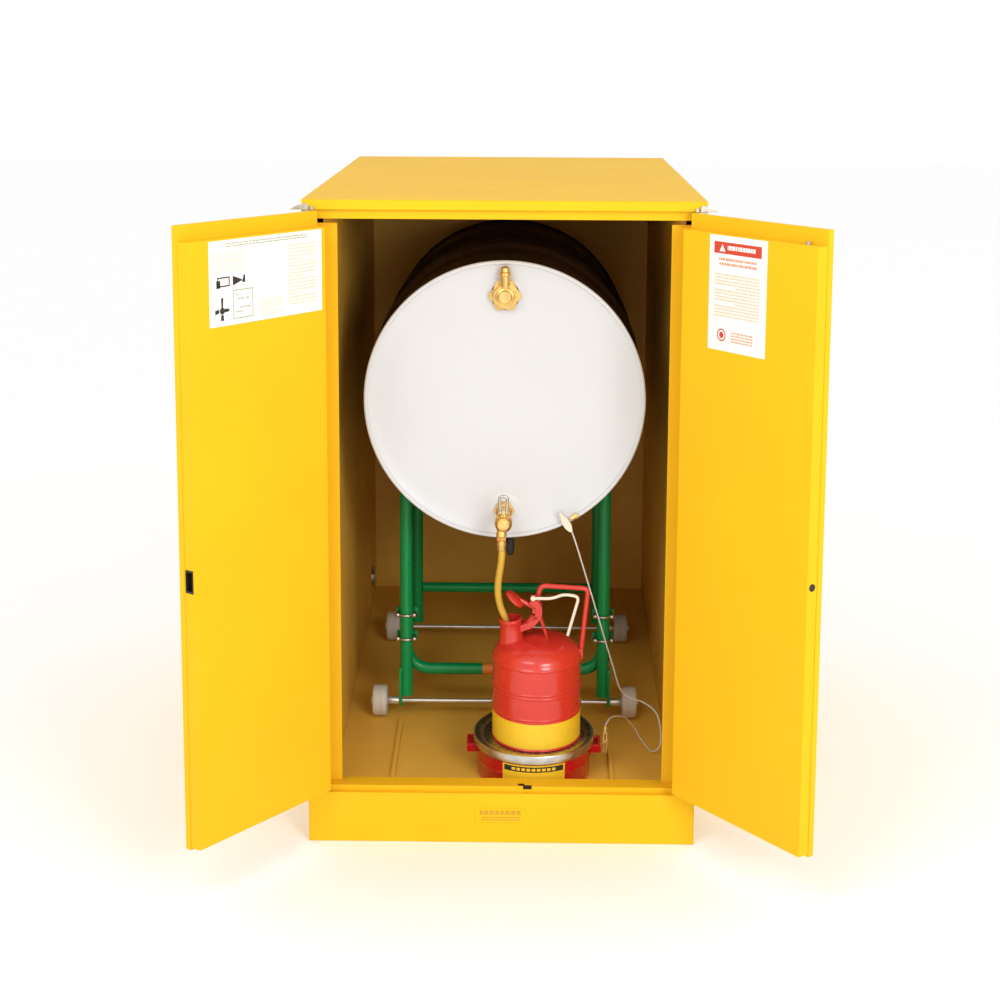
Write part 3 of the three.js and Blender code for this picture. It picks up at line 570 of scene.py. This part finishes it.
# ---------------------------------------------------------------- vent in the upper bung
face = HEAD_Y - 3.3
lobed = []
for i in range(96):
    a = 2 * math.pi * i / 96
    r = 31.0 + 3.0 * math.cos(6 * a)
    lobed.append((r * math.cos(a), VENT_Z + r * math.sin(a)))
outlet = [(0, 0), (12, 0), (12, 8), (10.5, 10), (10.5, 30), (12.5, 31), (12.5, 37), (10, 39), (9, 47),
          (5, 50), (0, 50)]
vent_shapes = [
    prism(lobed, face - 8, face),
    prism(polygon(8, 24.5, 0, VENT_Z, math.pi / 8), face - 25, face - 8),
    turned([(0, 0), (20, 0), (19, 4), (14, 6), (13, 9), (0, 9)], (0, face - 25, VENT_Z), (0, -1, 0), 48),
    rod((0, face - 2, VENT_Z), (0, face + 22, VENT_Z), 13.5, 32),
    turned(outlet, (0, face - 16, VENT_Z + 12), (0, 0, 1), 40),
]
piece("drum_vent", MAT["brass"], vent_shapes, "cradle", stands_for=("drum_vent",), bevel=0.7)
seal = [(15, 0), (30, 0), (30, 1.6), (15, 1.6)]
piece("vent_seal", MAT["rubber"], [
    turned(seal, (0, HEAD_Y - 3.2, VENT_Z), (0, -1, 0), 48, closed=True),
], "cradle")

# ---------------------------------------------------------------- faucet in the lower bung
y = FAUCET_Y
bonnet = [(0, 625), (10, 625), (14, 629), (17.5, 636), (18.5, 646), (16, 655), (12, 658), (12, 661), (0, 661)]
faucet_shapes = [
    rod((0, face - 4, FAUCET_Z), (0, face + 22, FAUCET_Z), 13.5, 32),
    prism(polygon(6, 21.5, 0, FAUCET_Z), face - 12, face),
    turned([(0, 0), (17, 0), (17, 5), (13, 8), (12, 14), (12, 62), (14, 64), (14, 70), (0, 70)],
           (0, face - 12, FAUCET_Z), (0, -1, 0), 40),
    turned(bonnet, (0, y, 0), (0, 0, 1), 48),
    prism(polygon(8, 12.5, 0, FAUCET_Z - 2, math.pi / 8), y - 26, y - 12),
    turned([(0, 0), (10, 0), (9, 4), (0, 6)], (0, y - 24, FAUCET_Z - 2), (0, -1, 0), 32),
    turned([(8.4, 614.2), (11, 614.2), (11, 622), (9.5, 625), (10.5, 636), (0, 640), (0, 634), (6, 632),
            (6, 620)], (-4, y, 0), (0, 0, 1), 40),
    block((-3.8, 3.8), (y - 7, y + 7), (655, 669)),
]
piece("faucet_body", MAT["brass"], faucet_shapes, "cradle", stands_for=("faucet_body",),
      bevel=0.5)
loop_corners = [(-6.6, y, LEVER_Z + 2), (-8.5, y - 3.5, 699), (8.5, y - 3.5, 699), (6.6, y, LEVER_Z + 2)]
loop = bent(loop_corners, 8.0)
lever_shapes = [sweep(loop, 3.3, 20)]
for sign in (-1, 1):
    lever_shapes.append(turned([(0, 0), (5.5, 0), (6, 0.6), (6, 3.6), (5.5, 4.2), (0, 4.2)],
                               (sign * 4.4, y, LEVER_Z), (sign, 0, 0), 28))
piece("faucet_lever", MAT["steel"], lever_shapes, "lever", stands_for=("faucet_lever",))

# ---------------------------------------------------------------- cradle
for side, sign in (("left", -1), ("right", 1)):
    x = sign * LEG_X
    feet = [(x, LEG_FRONT, axle_z(LEG_FRONT) + 14), (x, LEG_FRONT, RAIL_Z), (x, LEG_REAR, RAIL_Z),
            (x, LEG_REAR, axle_z(LEG_REAR) + 14)]
    shapes = [sweep(bent(feet, BEND, 16), LEG_TUBE, 32)]
    for leg in (LEG_FRONT, LEG_REAR):
        low = axle_z(leg) - 14
        tab = [(-13, 14), (-10, 5), (0, 0), (10, 5), (13, 14), (13, 86), (8, 92), (-8, 92), (-13, 86)]
        tab = [(leg + a, low + b) for a, b in tab]
        shapes.append(prism(tab, x + sign * 10, x + sign * 16, "yz"))
    piece(f"cradle_frame_{side}", MAT["green"], shapes, "cradle", stands_for=(f"cradle_frame_{side}",),
          bevel=0.5)

u_corners = [(-LEG_X, BRACE_Y, BRACE_TOP), (-LEG_X, BRACE_Y, BRACE_BOTTOM), (LEG_X, BRACE_Y, BRACE_BOTTOM),
             (LEG_X, BRACE_Y, BRACE_TOP)]
brace_shapes = [sweep(bent(u_corners, BEND, 16), BRACE_TUBE, 32)]
bolt_shapes = []
for x in (-LEG_X, LEG_X):
    for z in BOLT_Z:
        brace_shapes.append(block((x - 24, x + 24), (BRACE_Y - 4, BRACE_Y + 4), (z - 8, z + 8)))
        for dx in (-18.5, 18.5):
            bolt_shapes.append(rod((x + dx, LEG_FRONT - 10, z), (x + dx, BRACE_Y + 8, z), 3.2, 16))
            bolt_shapes.append(rod((x + dx, BRACE_Y + 4, z), (x + dx, BRACE_Y + 9, z), 6.2, 6))
            dome = [(0, 0), (6.4, 0), (6.4, 4), (5.4, 7), (3, 9), (0, 9.6)]
            bolt_shapes.append(turned(dome, (x + dx, LEG_FRONT - 6, z), (0, -1, 0), 20))
        band = arc(x, LEG_FRONT, 18.0, 180, 360, 16)
        bolt_shapes.append(sweep([(px, py, z) for px, py in band], 3.0, 12))
piece("cradle_brace", MAT["green"], brace_shapes, "cradle", stands_for=("cradle_brace",),
      bevel=0.8)
wrap = [(BRACE_TUBE + 0.1, 0), (BRACE_TUBE + 0.4, 0), (BRACE_TUBE + 0.4, 34), (BRACE_TUBE + 0.1, 34)]
piece("brace_sticker", MAT["label_orange"], [
    turned(wrap, (-50, BRACE_Y, BRACE_BOTTOM), (1, 0, 0), 48, closed=True),
], "cradle")
piece("brace_clamps", MAT["steel"], bolt_shapes, "cradle")

cross_end = LEG_X - LEG_TUBE
piece("cradle_cross_tube", MAT["green"], [
    rod((-cross_end, LEG_REAR, CROSS_TUBE_Z), (cross_end, LEG_REAR, CROSS_TUBE_Z), 12, 32),
], "cradle", stands_for=("cradle_cross_tube",))

outer_r = math.hypot(LEG_X, DRUM_Z - RAIL_Z) - LEG_TUBE - 0.3
outline = arc(0, DRUM_Z, DRUM_BODY + 0.4, -136, -44, 48) + arc(0, DRUM_Z, outer_r, -44, -136, 48)
for end, y in SADDLES.items():
    piece(f"padded_saddle_{end}", MAT["green"], [
        prism(outline, y - SADDLE_HALF_WIDTH, y + SADDLE_HALF_WIDTH),
    ], "cradle", stands_for=(f"saddle_{end}",), bevel=0.6)

for end, leg in (("front", LEG_FRONT), ("rear", LEG_REAR)):
    z = axle_z(leg)
    reach = WHEEL_X + WHEEL_W / 2 + 0.3
    shapes = [rod((-reach - 2, leg, z), (reach + 2, leg, z), AXLE_R, 24)]
    for sign in (-1, 1):
        shapes.append(turned([(5, 0), (8.6, 0), (9, 1), (9, 25.4), (8.6, 26.4), (5, 26.4)],
                             (sign * 238.3, leg, z), (sign, 0, 0), 28, closed=True))
        cap = [(0, 0), (9, 0), (9, 2), (7.4, 4.2), (0, 5)]
        shapes.append(turned(cap, (sign * reach, leg, z), (sign, 0, 0), 28))
    piece(f"axle_{end}", MAT["axle"], shapes, "cradle", stands_for=(f"axle_{end}",))
    for side, sign in (("left", -1), ("right", 1)):
        w = WHEEL_W / 2
        half = [(AXLE_R + 0.4, w), (13, w), (14, w - 1), (14.6, w - 6), (25.6, w - 6), (27, w - 2),
                (31.5, w - 1), (33.6, w - 2.4), (WHEEL_R, w - 6), (WHEEL_R, 1.2), (34.5, 0)]
        profile = half + [(r, -t) for r, t in reversed(half[:-1])]
        shapes = [turned(profile, (sign * WHEEL_X, leg, z), (sign, 0, 0), 72, closed=True)]
        for i in range(5):
            a = 2 * math.pi * i / 5 + 0.4
            centre = (sign * WHEEL_X, leg + 19.5 * math.cos(a), z + 19.5 * math.sin(a))
            rivet = [(0, w - 7), (2.4, w - 7), (2.0, w - 3.6), (0, w - 3.4)]
            shapes.append(turned(rivet, centre, (sign, 0, 0), 12))
        name = f"wheel_{end}_{side}"
        piece(f"cast_{name}", MAT["wheel"], shapes, f"wheel_{end[0]}{side[0]}", stands_for=(name,))

# ---------------------------------------------------------------- drain can and its rim
R = DRAIN_R
pot = [(0, 0.4), (R - 5, 0.4), (R - 1, 2), (R, 5), (R, 38)]
pot += [(R + 1.6 * math.sin(math.pi * i / 6), 39 + i) for i in range(1, 6)]
pot += [(R, 46), (R, 71.6), (R - 2, 71.6), (R - 2, 6), (0, 6)]
pot_shapes = [turned(pot, steps=128)]
for sign in (-1, 1):
    for side in (-1, 1):
        pot_shapes.append(block((sign * (R - 1), sign * (R + 18)), (side * 17, side * 24), (51, 69)))
    pot_shapes.append(block((sign * (R + 15), sign * (R + 22)), (-24, 24), (51, 69)))
piece("drain_can", MAT["red_dark"], pot_shapes, "cabinet", CAN, ("drain_can",), bevel=2.0)

deck_shapes = []
rim = [(R - 3.4, 76), (R - 3.4, 72.2), (RIM_R - 1, 72.2), (RIM_R, 73.5), (RIM_R, 88), (RIM_R - 1.5, 90.4),
       (RIM_R - 5, 91), (RIM_R - 12, 90.6), (RIM_R - 16, 88.5), (RIM_R - 20, DECK + 0.2), (RIM_R - 26, DECK),
       (RIM_R - 26, DECK - 3.6), (RIM_R - 22, 76.2)]
deck_shapes.append(turned(rim, steps=128, closed=True))
deck = [(0, DECK - 2), (RIM_R - 25.5, DECK - 2), (RIM_R - 25.5, DECK), (0, DECK)]
deck_shapes.append(turned(deck, steps=96))
piece("drain_can_rim", MAT["steel"], deck_shapes, "cabinet", CAN, ("drain_can_rim",))
# Thin dark discs on the deck: painted shade where the drain holes would be.
hole_shade_spots = []
for ring, count in DECK_HOLES:
    for i in range(count):
        a = 2 * math.pi * (i + (ring % 2) / 2) / count
        spot = (ring * math.cos(a), ring * math.sin(a), DECK + 0.05)
        hole_shade_spots.append(turned([(0, 0), (1.9, 0), (1.7, 0.25), (0, 0.25)], spot, steps=10))
piece("deck_drain_hole_shade", MAT["hole_shade"], hole_shade_spots, "cabinet", CAN)


def can_label(name, material, radius, centre_x, angle, z, thickness=0.35, steps=40):
    """A thin curved label round an upright cylinder. angle is (from, to) in degrees."""
    points = []
    for i in range(steps + 1):
        a = math.radians(angle[0] + (angle[1] - angle[0]) * i / steps)
        for r in (radius + 0.08, radius + thickness):
            for level in z:
                points.append(Vector((centre_x + r * math.cos(a), r * math.sin(a), level)))
    faces = []
    for i in range(steps):
        a, b = 4 * i, 4 * i + 4
        faces += [(a, b, b + 1, a + 1), (a + 2, a + 3, b + 3, b + 2)]
        faces += [(a, a + 2, b + 2, b), (a + 1, b + 1, b + 3, a + 3)]
    faces += [(0, 1, 3, 2), (4 * steps, 4 * steps + 2, 4 * steps + 3, 4 * steps + 1)]
    return piece(name, material, [(points, faces)], "cabinet", CAN)


can_label("drain_can_label", MAT["label_yellow"], R, 0, (-122, -58), (16, 68), 1.9)
can_label("drain_can_label_bar", MAT["ink_black"], R + 1.9, 0, (-120, -60), (53, 65), 0.25)
for i in range(9):
    start = -112 + 5 * i
    can_label(f"drain_can_label_mark_{i}", MAT["label_yellow"], R + 2.2, 0, (start, start + 3.6), (56, 62),
              0.2, 4)

# ---------------------------------------------------------------- safety can
cr = CAN_R
b = CAN_BASE


def bead(radius, z, rise=2.0, half=3.0):
    return [(radius + rise * math.sin(math.pi * i / 6), z - half + half * i / 3) for i in range(7)]


body = [(0, b), (cr - 4, b), (cr - 1, b + 1), (cr - 0.6, b + 3.4), (cr - 2, b + 5)]
body += bead(cr - 2, b + 70) + bead(cr - 2, b + 118) + bead(cr - 2, b + 126)
body += [(cr - 2, b + 172)] + bead(cr - 2, b + 180)
for i in range(1, 15):
    a = math.pi / 2 * i / 14
    body.append((cr - 4 - 62 * (1 - math.cos(a)) - 2 * i / 14, b + 186 + 34 * math.sin(a)))
body += [(14, b + 223.5), (0, b + 224)]
mouth = Vector(CAN_MOUTH)
neck_low = Vector((-46, 0, b + 190))
neck_axis = (mouth - neck_low).normalized()
neck_length = (mouth - neck_low).length
neck = [(20.5, 0), (30, 0), (27, 20), (24.5, 34), (23.2, 46), (23.2, neck_length - 9)]
neck += [(24.6, neck_length - 7), (25, neck_length - 4), (24.6, neck_length - 1), (23.2, neck_length),
         (20.5, neck_length)]
can_shapes = [
    turned(body, (CAN_SHIFT, 0, 0), steps=128),
    turned(neck, neck_low, neck_axis, 48, closed=True),
    sweep(bent([(-34, 0, 322), (-14, 0, 332), (0, 0, 352)], 10), 7.5, 20),
    block((-7, 7), (-12, 12), (346, 354)),
]
elbow_line = bent([(-34, 0, 325), (-8, 0, 334), (9, 0, 356), (8, 0, 376), (-8, 0, 389)], 8, 6)
elbow_sides = ([], [])
for before, here, after in zip([elbow_line[0]] + elbow_line, elbow_line, elbow_line[1:] + [elbow_line[-1]]):
    across = Vector((0, 1, 0)).cross((after - before).normalized())
    elbow_sides[0].append(((here + 7 * across).x, (here + 7 * across).z))
    elbow_sides[1].append(((here - 7 * across).x, (here - 7 * across).z))
elbow = elbow_sides[0] + list(reversed(elbow_sides[1]))
for sign in (-1, 1):
    can_shapes.append(prism(elbow, sign * 9, sign * 12))
    can_shapes.append(sweep([(28, sign * 10.5, b + 215), (6, sign * 10.5, 366)], 2.2, 12))
piece("safety_can", MAT["red"], can_shapes, "cabinet", CAN, ("safety_can",), bevel=0.4)
can_label("safety_can_band", MAT["label_yellow"], cr - 2, CAN_SHIFT, (-182, 2), (b + 6, b + 62))

disc_low = Vector((-42.5, 0, 388.5))
disc_axis = Vector((0.68, 0, 0.73))
lid_shapes = [
    rod((0, -8.7, LID_PIVOT[2]), (0, 8.7, LID_PIVOT[2]), 5.6, 24, chamfer=0.6),
    sweep(bent([LID_PIVOT, (-4, 0, 372), (-16, 0, 378), (-36, 0, 389)], 5), 5.2, 20),
    turned([(0, 0), (19, 0), (22.5, -3), (23.5, -2), (23.5, 2), (21, 4.5), (15, 7), (8, 9), (0, 10)],
           disc_low, disc_axis, 48),
]
piece("can_lid", MAT["red"], lid_shapes, "lid", CAN, ("can_lid",), bevel=0.4)

grip_path = bent([(3, 0, 380), (12, 0, 419), (111, 0, 413), (98, 0, 276)], 12, 12)
handle_shapes = [
    sweep(grip_path, 5.2, 20),
    block((-5, 9), (-8.6, 8.6), (376, 387)),
    block((-9, 8), (-8.6, -4), (390, 400)),
    block((3, 10), (-8.6, 0), (386, 400)),
    block((91, 102), (-9, 9), (258, 280)),
]
piece("can_handle", MAT["red"], handle_shapes, "cabinet", CAN, ("can_handle",), bevel=1.0)
tx, ty, tz = TRIGGER_PIVOT
trigger_path = bent([TRIGGER_PIVOT, (36, ty, 395), (60, ty, 405), (92, ty, 400), (69, ty, 313)], 12, 10)
piece("can_trigger", MAT["cream"], [
    rod((tx, ty - 2.5, tz), (tx, ty + 3.5, tz), 5, 24, chamfer=0.5),
    sweep(trigger_path, 3.3, 20),
], "trigger", CAN, ("can_trigger",))

# ---------------------------------------------------------------- ground clamp and clip
clamp_axis = Vector((0.527, 0, -0.85))
clamp_side = Vector((0.85, 0, 0.527))
clamp_tip = Vector((116, 0, 648))
clamp_widths = ((0, 2.5), (8, 3.5), (20, 8), (36, 8), (49, 3))
clamp_outline = [clamp_tip + along * clamp_axis + half * clamp_side for along, half in clamp_widths]
for along, half in reversed(clamp_widths):
    clamp_outline.append(clamp_tip + along * clamp_axis - half * clamp_side)
piece("ground_clamp", MAT["cream"], [
    prism([(point.x, point.z) for point in clamp_outline], 184, 198),
], "cradle", stands_for=("ground_clamp",), bevel=2.0)
piece("clamp_screw", MAT["brass_painted_sheen"], [
    rod((140, 191, 634), (153, 191, 642), 4.6, 24, chamfer=0.8),
    rod((150, 191, 640), (154, 191, 642.5), 7.0, 24, chamfer=0.8),
], "cradle")
clip_shapes = []
for sign in (-1, 1):
    jaw = [(0.6, 118), (4.5, 124), (5.5, 146), (4, 168), (1.5, 168), (1.5, 146)]
    clip_shapes.append(prism([(218 + sign * a, b) for a, b in jaw], 187, 197))
clip_shapes.append(rod((218, 185.5, 146), (218, 198.5, 146), 3.4, 20, chamfer=0.4))
clip_shapes.append(rod((218, 192, 160), (218.8, 203, 174), 3.4, 20))
piece("wire_clip", MAT["brass_painted_sheen"], clip_shapes, "cabinet", stands_for=("wire_clip",),
      bevel=0.4)

# ---------------------------------------------------------------- wall vents
vent_profile = [(23, 0), (26, 0), (26, 40.5), (38, 40.5), (38, 44.5), (31, 45.5), (29, 54), (24, 56),
                (0, 56.5), (0, 50), (20, 49), (23, 46)]
for side, sign, z in WALL_VENTS:
    piece(f"wall_vent_{side}", MAT["steel"], [
        turned(vent_profile, (sign * LINER_X, WALL_VENT_Y, z), (sign, 0, 0), 64),
    ], "cabinet", stands_for=(f"wall_vent_{side}",))

# ---------------------------------------------------------------- doors
DOORS = {1: ("right_door", door_place(1)), -1: ("left_door", door_place(-1))}
lx = HANDLE_X
handle_outline = arc(lx + 96, LATCH_Z, 8, -90, 90, 12) + arc(lx - 11, LATCH_Z, 10, 90, 270, 12)
piece("door_handle", MAT["black"], [
    prism(handle_outline, -40, -28),
    rod((lx, -30, LATCH_Z), (lx, 7, LATCH_Z), 7, 32),
    rod((lx, -41.5, LATCH_Z), (lx, -38, LATCH_Z), 8, 24, chamfer=1),
], "handle", DOORS[1][1], ("door_handle",), bevel=2.0)


def door_piece(name, material, sign, shapes):
    body, place = DOORS[sign]
    piece(name, material, shapes, body, place)


def door_plate(name, material, sign, x, z, lift=0.0, thickness=0.3):
    """A thin printed rectangle on a door's inner face."""
    low = DOOR_INNER + 0.05 + lift
    door_piece(name, material, sign, [block((sign * x[0], sign * x[1]), (low, low + thickness), z)])


def print_lines(name, material, sign, x, z, rows, seed, gap_chance=0.12, row_fill=0.45, lift=0.35):
    """Rows of small generic dashes, standing for a block of small print. Every fifth row is short."""
    pick = random.Random(seed)
    low = DOOR_INNER + lift
    shapes = []
    pitch = (z[1] - z[0]) / rows
    for row in range(rows):
        top = z[1] - row * pitch
        at = x[0]
        end = x[0] + (x[1] - x[0]) * (0.55 if row % 5 == 4 else 1.0)
        while at < end:
            width = min(pick.uniform(2.5, 9.0), end - at)
            if width > 1.0 and pick.random() > gap_chance:
                dash = (sign * at, sign * (at + width))
                shapes.append(block(dash, (low, low + 0.12), (top - pitch * row_fill, top)))
            at += width + pick.uniform(1.0, 1.8)
    door_piece(name, material, sign, shapes)


# On the left door x grows from the meeting edge, so the label's left end has the lowest x.
door_plate("left_door_label", MAT["label"], -1, (56, 357), (1106, 1263))
print_lines("left_label_heading", MAT["ink_grey"], -1, (98, 318), (1248, 1257), 2, 3, gap_chance=0.0,
            row_fill=0.5)
print_lines("left_label_text_a", MAT["ink_pale"], -1, (66, 150), (1202, 1240), 7, 5, gap_chance=0.0)
print_lines("left_label_text_b", MAT["ink_pale"], -1, (262, 342), (1122, 1240), 18, 6, gap_chance=0.0)
print_lines("left_label_text_c", MAT["ink_pale"], -1, (186, 246), (1112, 1146), 7, 7, gap_chance=0.0)


def door_art(name, material, sign, outlines, lift=0.35):
    """Flat printed figures on a door's inner face: each outline is in door x and z."""
    low = DOOR_INNER + lift
    shapes = [prism([(sign * x, z) for x, z in outline], low, low + 0.15) for outline in outlines]
    door_piece(name, material, sign, shapes)


def frame_art(x, z, line):
    """A rectangle drawn as four thin bars."""
    inside = (z[0] + line, z[1] - line)
    bars = [(x, (z[0], z[0] + line)), (x, (z[1] - line, z[1])), ((x[0], x[0] + line), inside),
            ((x[1] - line, x[1]), inside)]
    return [[(a[0], b[0]), (a[1], b[0]), (a[1], b[1]), (a[0], b[1])] for a, b in bars]


drum_figure = frame_art((76, 108), (1178, 1196), 2.5)
drum_figure.append([(74, 1176), (84, 1176), (84, 1190), (74, 1190)])
drum_figure.append([(116, 1178), (134, 1184), (142, 1186), (134, 1190), (116, 1196)])
drum_figure.append([(140, 1182), (148, 1182), (148, 1196), (144, 1196)])
tap_figure = [
    polygon(10, 6.5, 88, 1134), [(86, 1140), (90, 1140), (91, 1158), (85, 1158)],
    [(94, 1131), (106, 1132), (106, 1137), (94, 1138)], [(70, 1128), (80, 1131), (80, 1138), (70, 1136)],
    [(84, 1116), (92, 1116), (91, 1127), (85, 1127)],
]
door_art("left_label_figures", MAT["ink_black"], -1, drum_figure + tap_figure)
door_art("left_label_frame", MAT["ink_grey"], -1, frame_art((116, 168), (1116, 1170), 2.0))
print_lines("left_label_table", MAT["ink_grey"], -1, (124, 160), (1122, 1162), 5, 9, gap_chance=0.3,
            row_fill=0.35)

door_plate("right_door_label", MAT["label"], 1, (132, 290), (1046, 1264))
door_plate("right_label_header", MAT["ink_red"], 1, (147, 277), (1230, 1252), 0.3, 0.15)
door_art("right_label_triangle", MAT["label"], 1, [[(246, 1234), (262, 1234), (254, 1248)]], 0.5)
print_lines("right_label_header_marks", MAT["label"], 1, (164, 240), (1236, 1246), 1, 17, gap_chance=0.0,
            row_fill=0.8, lift=0.5)
print_lines("right_label_title", MAT["ink_orange"], 1, (160, 264), (1204, 1222), 2, 11, gap_chance=0.0,
            row_fill=0.5)
print_lines("right_label_text", MAT["ink_peach"], 1, (150, 274), (1108, 1192), 14, 13, gap_chance=0.0)
print_lines("right_label_small_print", MAT["ink_orange"], 1, (166, 226), (1062, 1084), 4, 15, gap_chance=0.0)
emblem_at = (252, DOOR_INNER + 0.36, 1076)
door_piece("right_label_emblem", MAT["ink_red"], 1, [
    turned([(9.5, 0), (12, 0), (12, 0.15), (9.5, 0.15)], emblem_at, (0, 1, 0), 36, closed=True),
    turned([(0, 0), (6, 0), (6, 0.15), (0, 0.15)], emblem_at, (0, 1, 0), 24),
])

# ---------------------------------------------------------------- small things on the cabinet
piece("plinth_plate", MAT["yellow"], [block((-53, 51), (-1.2, -0.05), (43, 74))], "cabinet", bevel=0.5)
plate_rows = []
pick = random.Random(21)
at = -44.0
while at < 40:
    width = pick.uniform(6, 10)
    plate_rows.append(block((at, min(at + width, 42)), (-1.9, -1.15), (60, 69)))
    at += width + 2.6
for row in range(2):
    plate_rows.append(block((-40, 38), (-1.6, -1.15), (48 + 5 * row, 50.4 + 5 * row)))
# The raised rows are coloured with a darker copy of the cabinet yellow, as painted shade.
piece("plinth_plate_relief", MAT["embossing_shade"], plate_rows, "cabinet", bevel=0.2)
# A thin dark block at the sill's top: painted shade of the strike slot.
piece("sill_strike_slot_shade", MAT["hole_shade"], [block((44, 62), (12.0, 19), (110, 116.15))], "cabinet", bevel=0.3)
tip = [(380, 1296.5), (414, 1296.5), (408, 1303), (392, 1308), (380, 1308)]
hinge_x, hinge_y = DOOR_HINGE
for side, sign in (("left", -1), ("right", 1)):
    piece(f"hinge_tip_{side}", MAT["steel"], [
        prism([(sign * x, z) for x, z in tip], -7.0, -4.6),
        rod((sign * hinge_x, hinge_y, 1295.6), (sign * hinge_x, hinge_y, 1303), 4.2, 20, chamfer=0.8),
    ], "cabinet", bevel=0.4)

# ---------------------------------------------------------------- sheet-metal CAD nodes
OUTSIDE = ["base_pan", "plinth_front", "sill", "side_panel_left", "side_panel_right", "door_frame_left",
           "door_frame_right", "back_panel", "header", "top_panel", "door_skin_left", "door_skin_right",
           "door_liner_left", "door_liner_right"]
LINING = ["liner_left", "liner_right", "liner_back", "liner_ceiling", "floor_pan", "floor_rail_left",
          "floor_rail_right"]
STEEL = ["hinge_left_frame", "hinge_right_frame", "hinge_left_door", "hinge_right_door", "latch_rod_top",
         "latch_rod_bottom"]
BLACK = ["strike_cup", "handle_plate", "latch_bolt"]


def dress(names, material, bevel=0.0):
    """Give CAD nodes a material and, where bevel is set, edges that catch the light."""
    for name in names:
        obj = NODES[name]
        obj.data.materials.clear()
        obj.data.materials.append(material)
        if bevel:
            weld = obj.modifiers.new("weld", "WELD")
            weld.merge_threshold = 0.00002
            soften(obj, bevel, 1, "MITER_ARC")


dress(OUTSIDE, MAT["yellow"], 1.0)
dress(LINING, MAT["lining"], 0.6)
dress(STEEL, MAT["steel"], 0.3)
dress(BLACK, MAT["black"])

# ---------------------------------------------------------------- stage
scene = bpy.context.scene
scene.view_settings.view_transform = "Standard"
world = bpy.data.worlds.new("studio")
scene.world = world
world.use_nodes = True
world.node_tree.nodes["Background"].inputs["Color"].default_value = (1, 1, 1, 1)
world.node_tree.nodes["Background"].inputs["Strength"].default_value = 1.0

stage_material = painted("studio floor", (0.99, 0.99, 0.99), 0.9, 0.995, 0.02)
bpy.ops.mesh.primitive_plane_add(size=40, location=(0, 0, -0.0005))
studio_floor = bpy.context.object
studio_floor.name = "studio_floor"
studio_floor.data.materials.append(stage_material)


def soft_light(name, at, target, size, power):
    """A rectangular lamp at a point in metres, aimed at the target."""
    data = bpy.data.lights.new(name, "AREA")
    data.shape = "RECTANGLE"
    data.size = size[0]
    data.size_y = size[1]
    data.energy = power
    lamp = bpy.data.objects.new(name, data)
    scene.collection.objects.link(lamp)
    lamp.location = at
    lamp.rotation_euler = (Vector(target) - Vector(at)).to_track_quat("-Z", "Y").to_euler()


soft_light("key", (1.5, -3.8, 1.8), (-0.25, 0.3, 0.4), (1.2, 1.0), 46)
soft_light("floor wash", (-0.9, -2.7, 2.3), (0.1, -0.3, 0.2), (1.2, 0.6), 16)
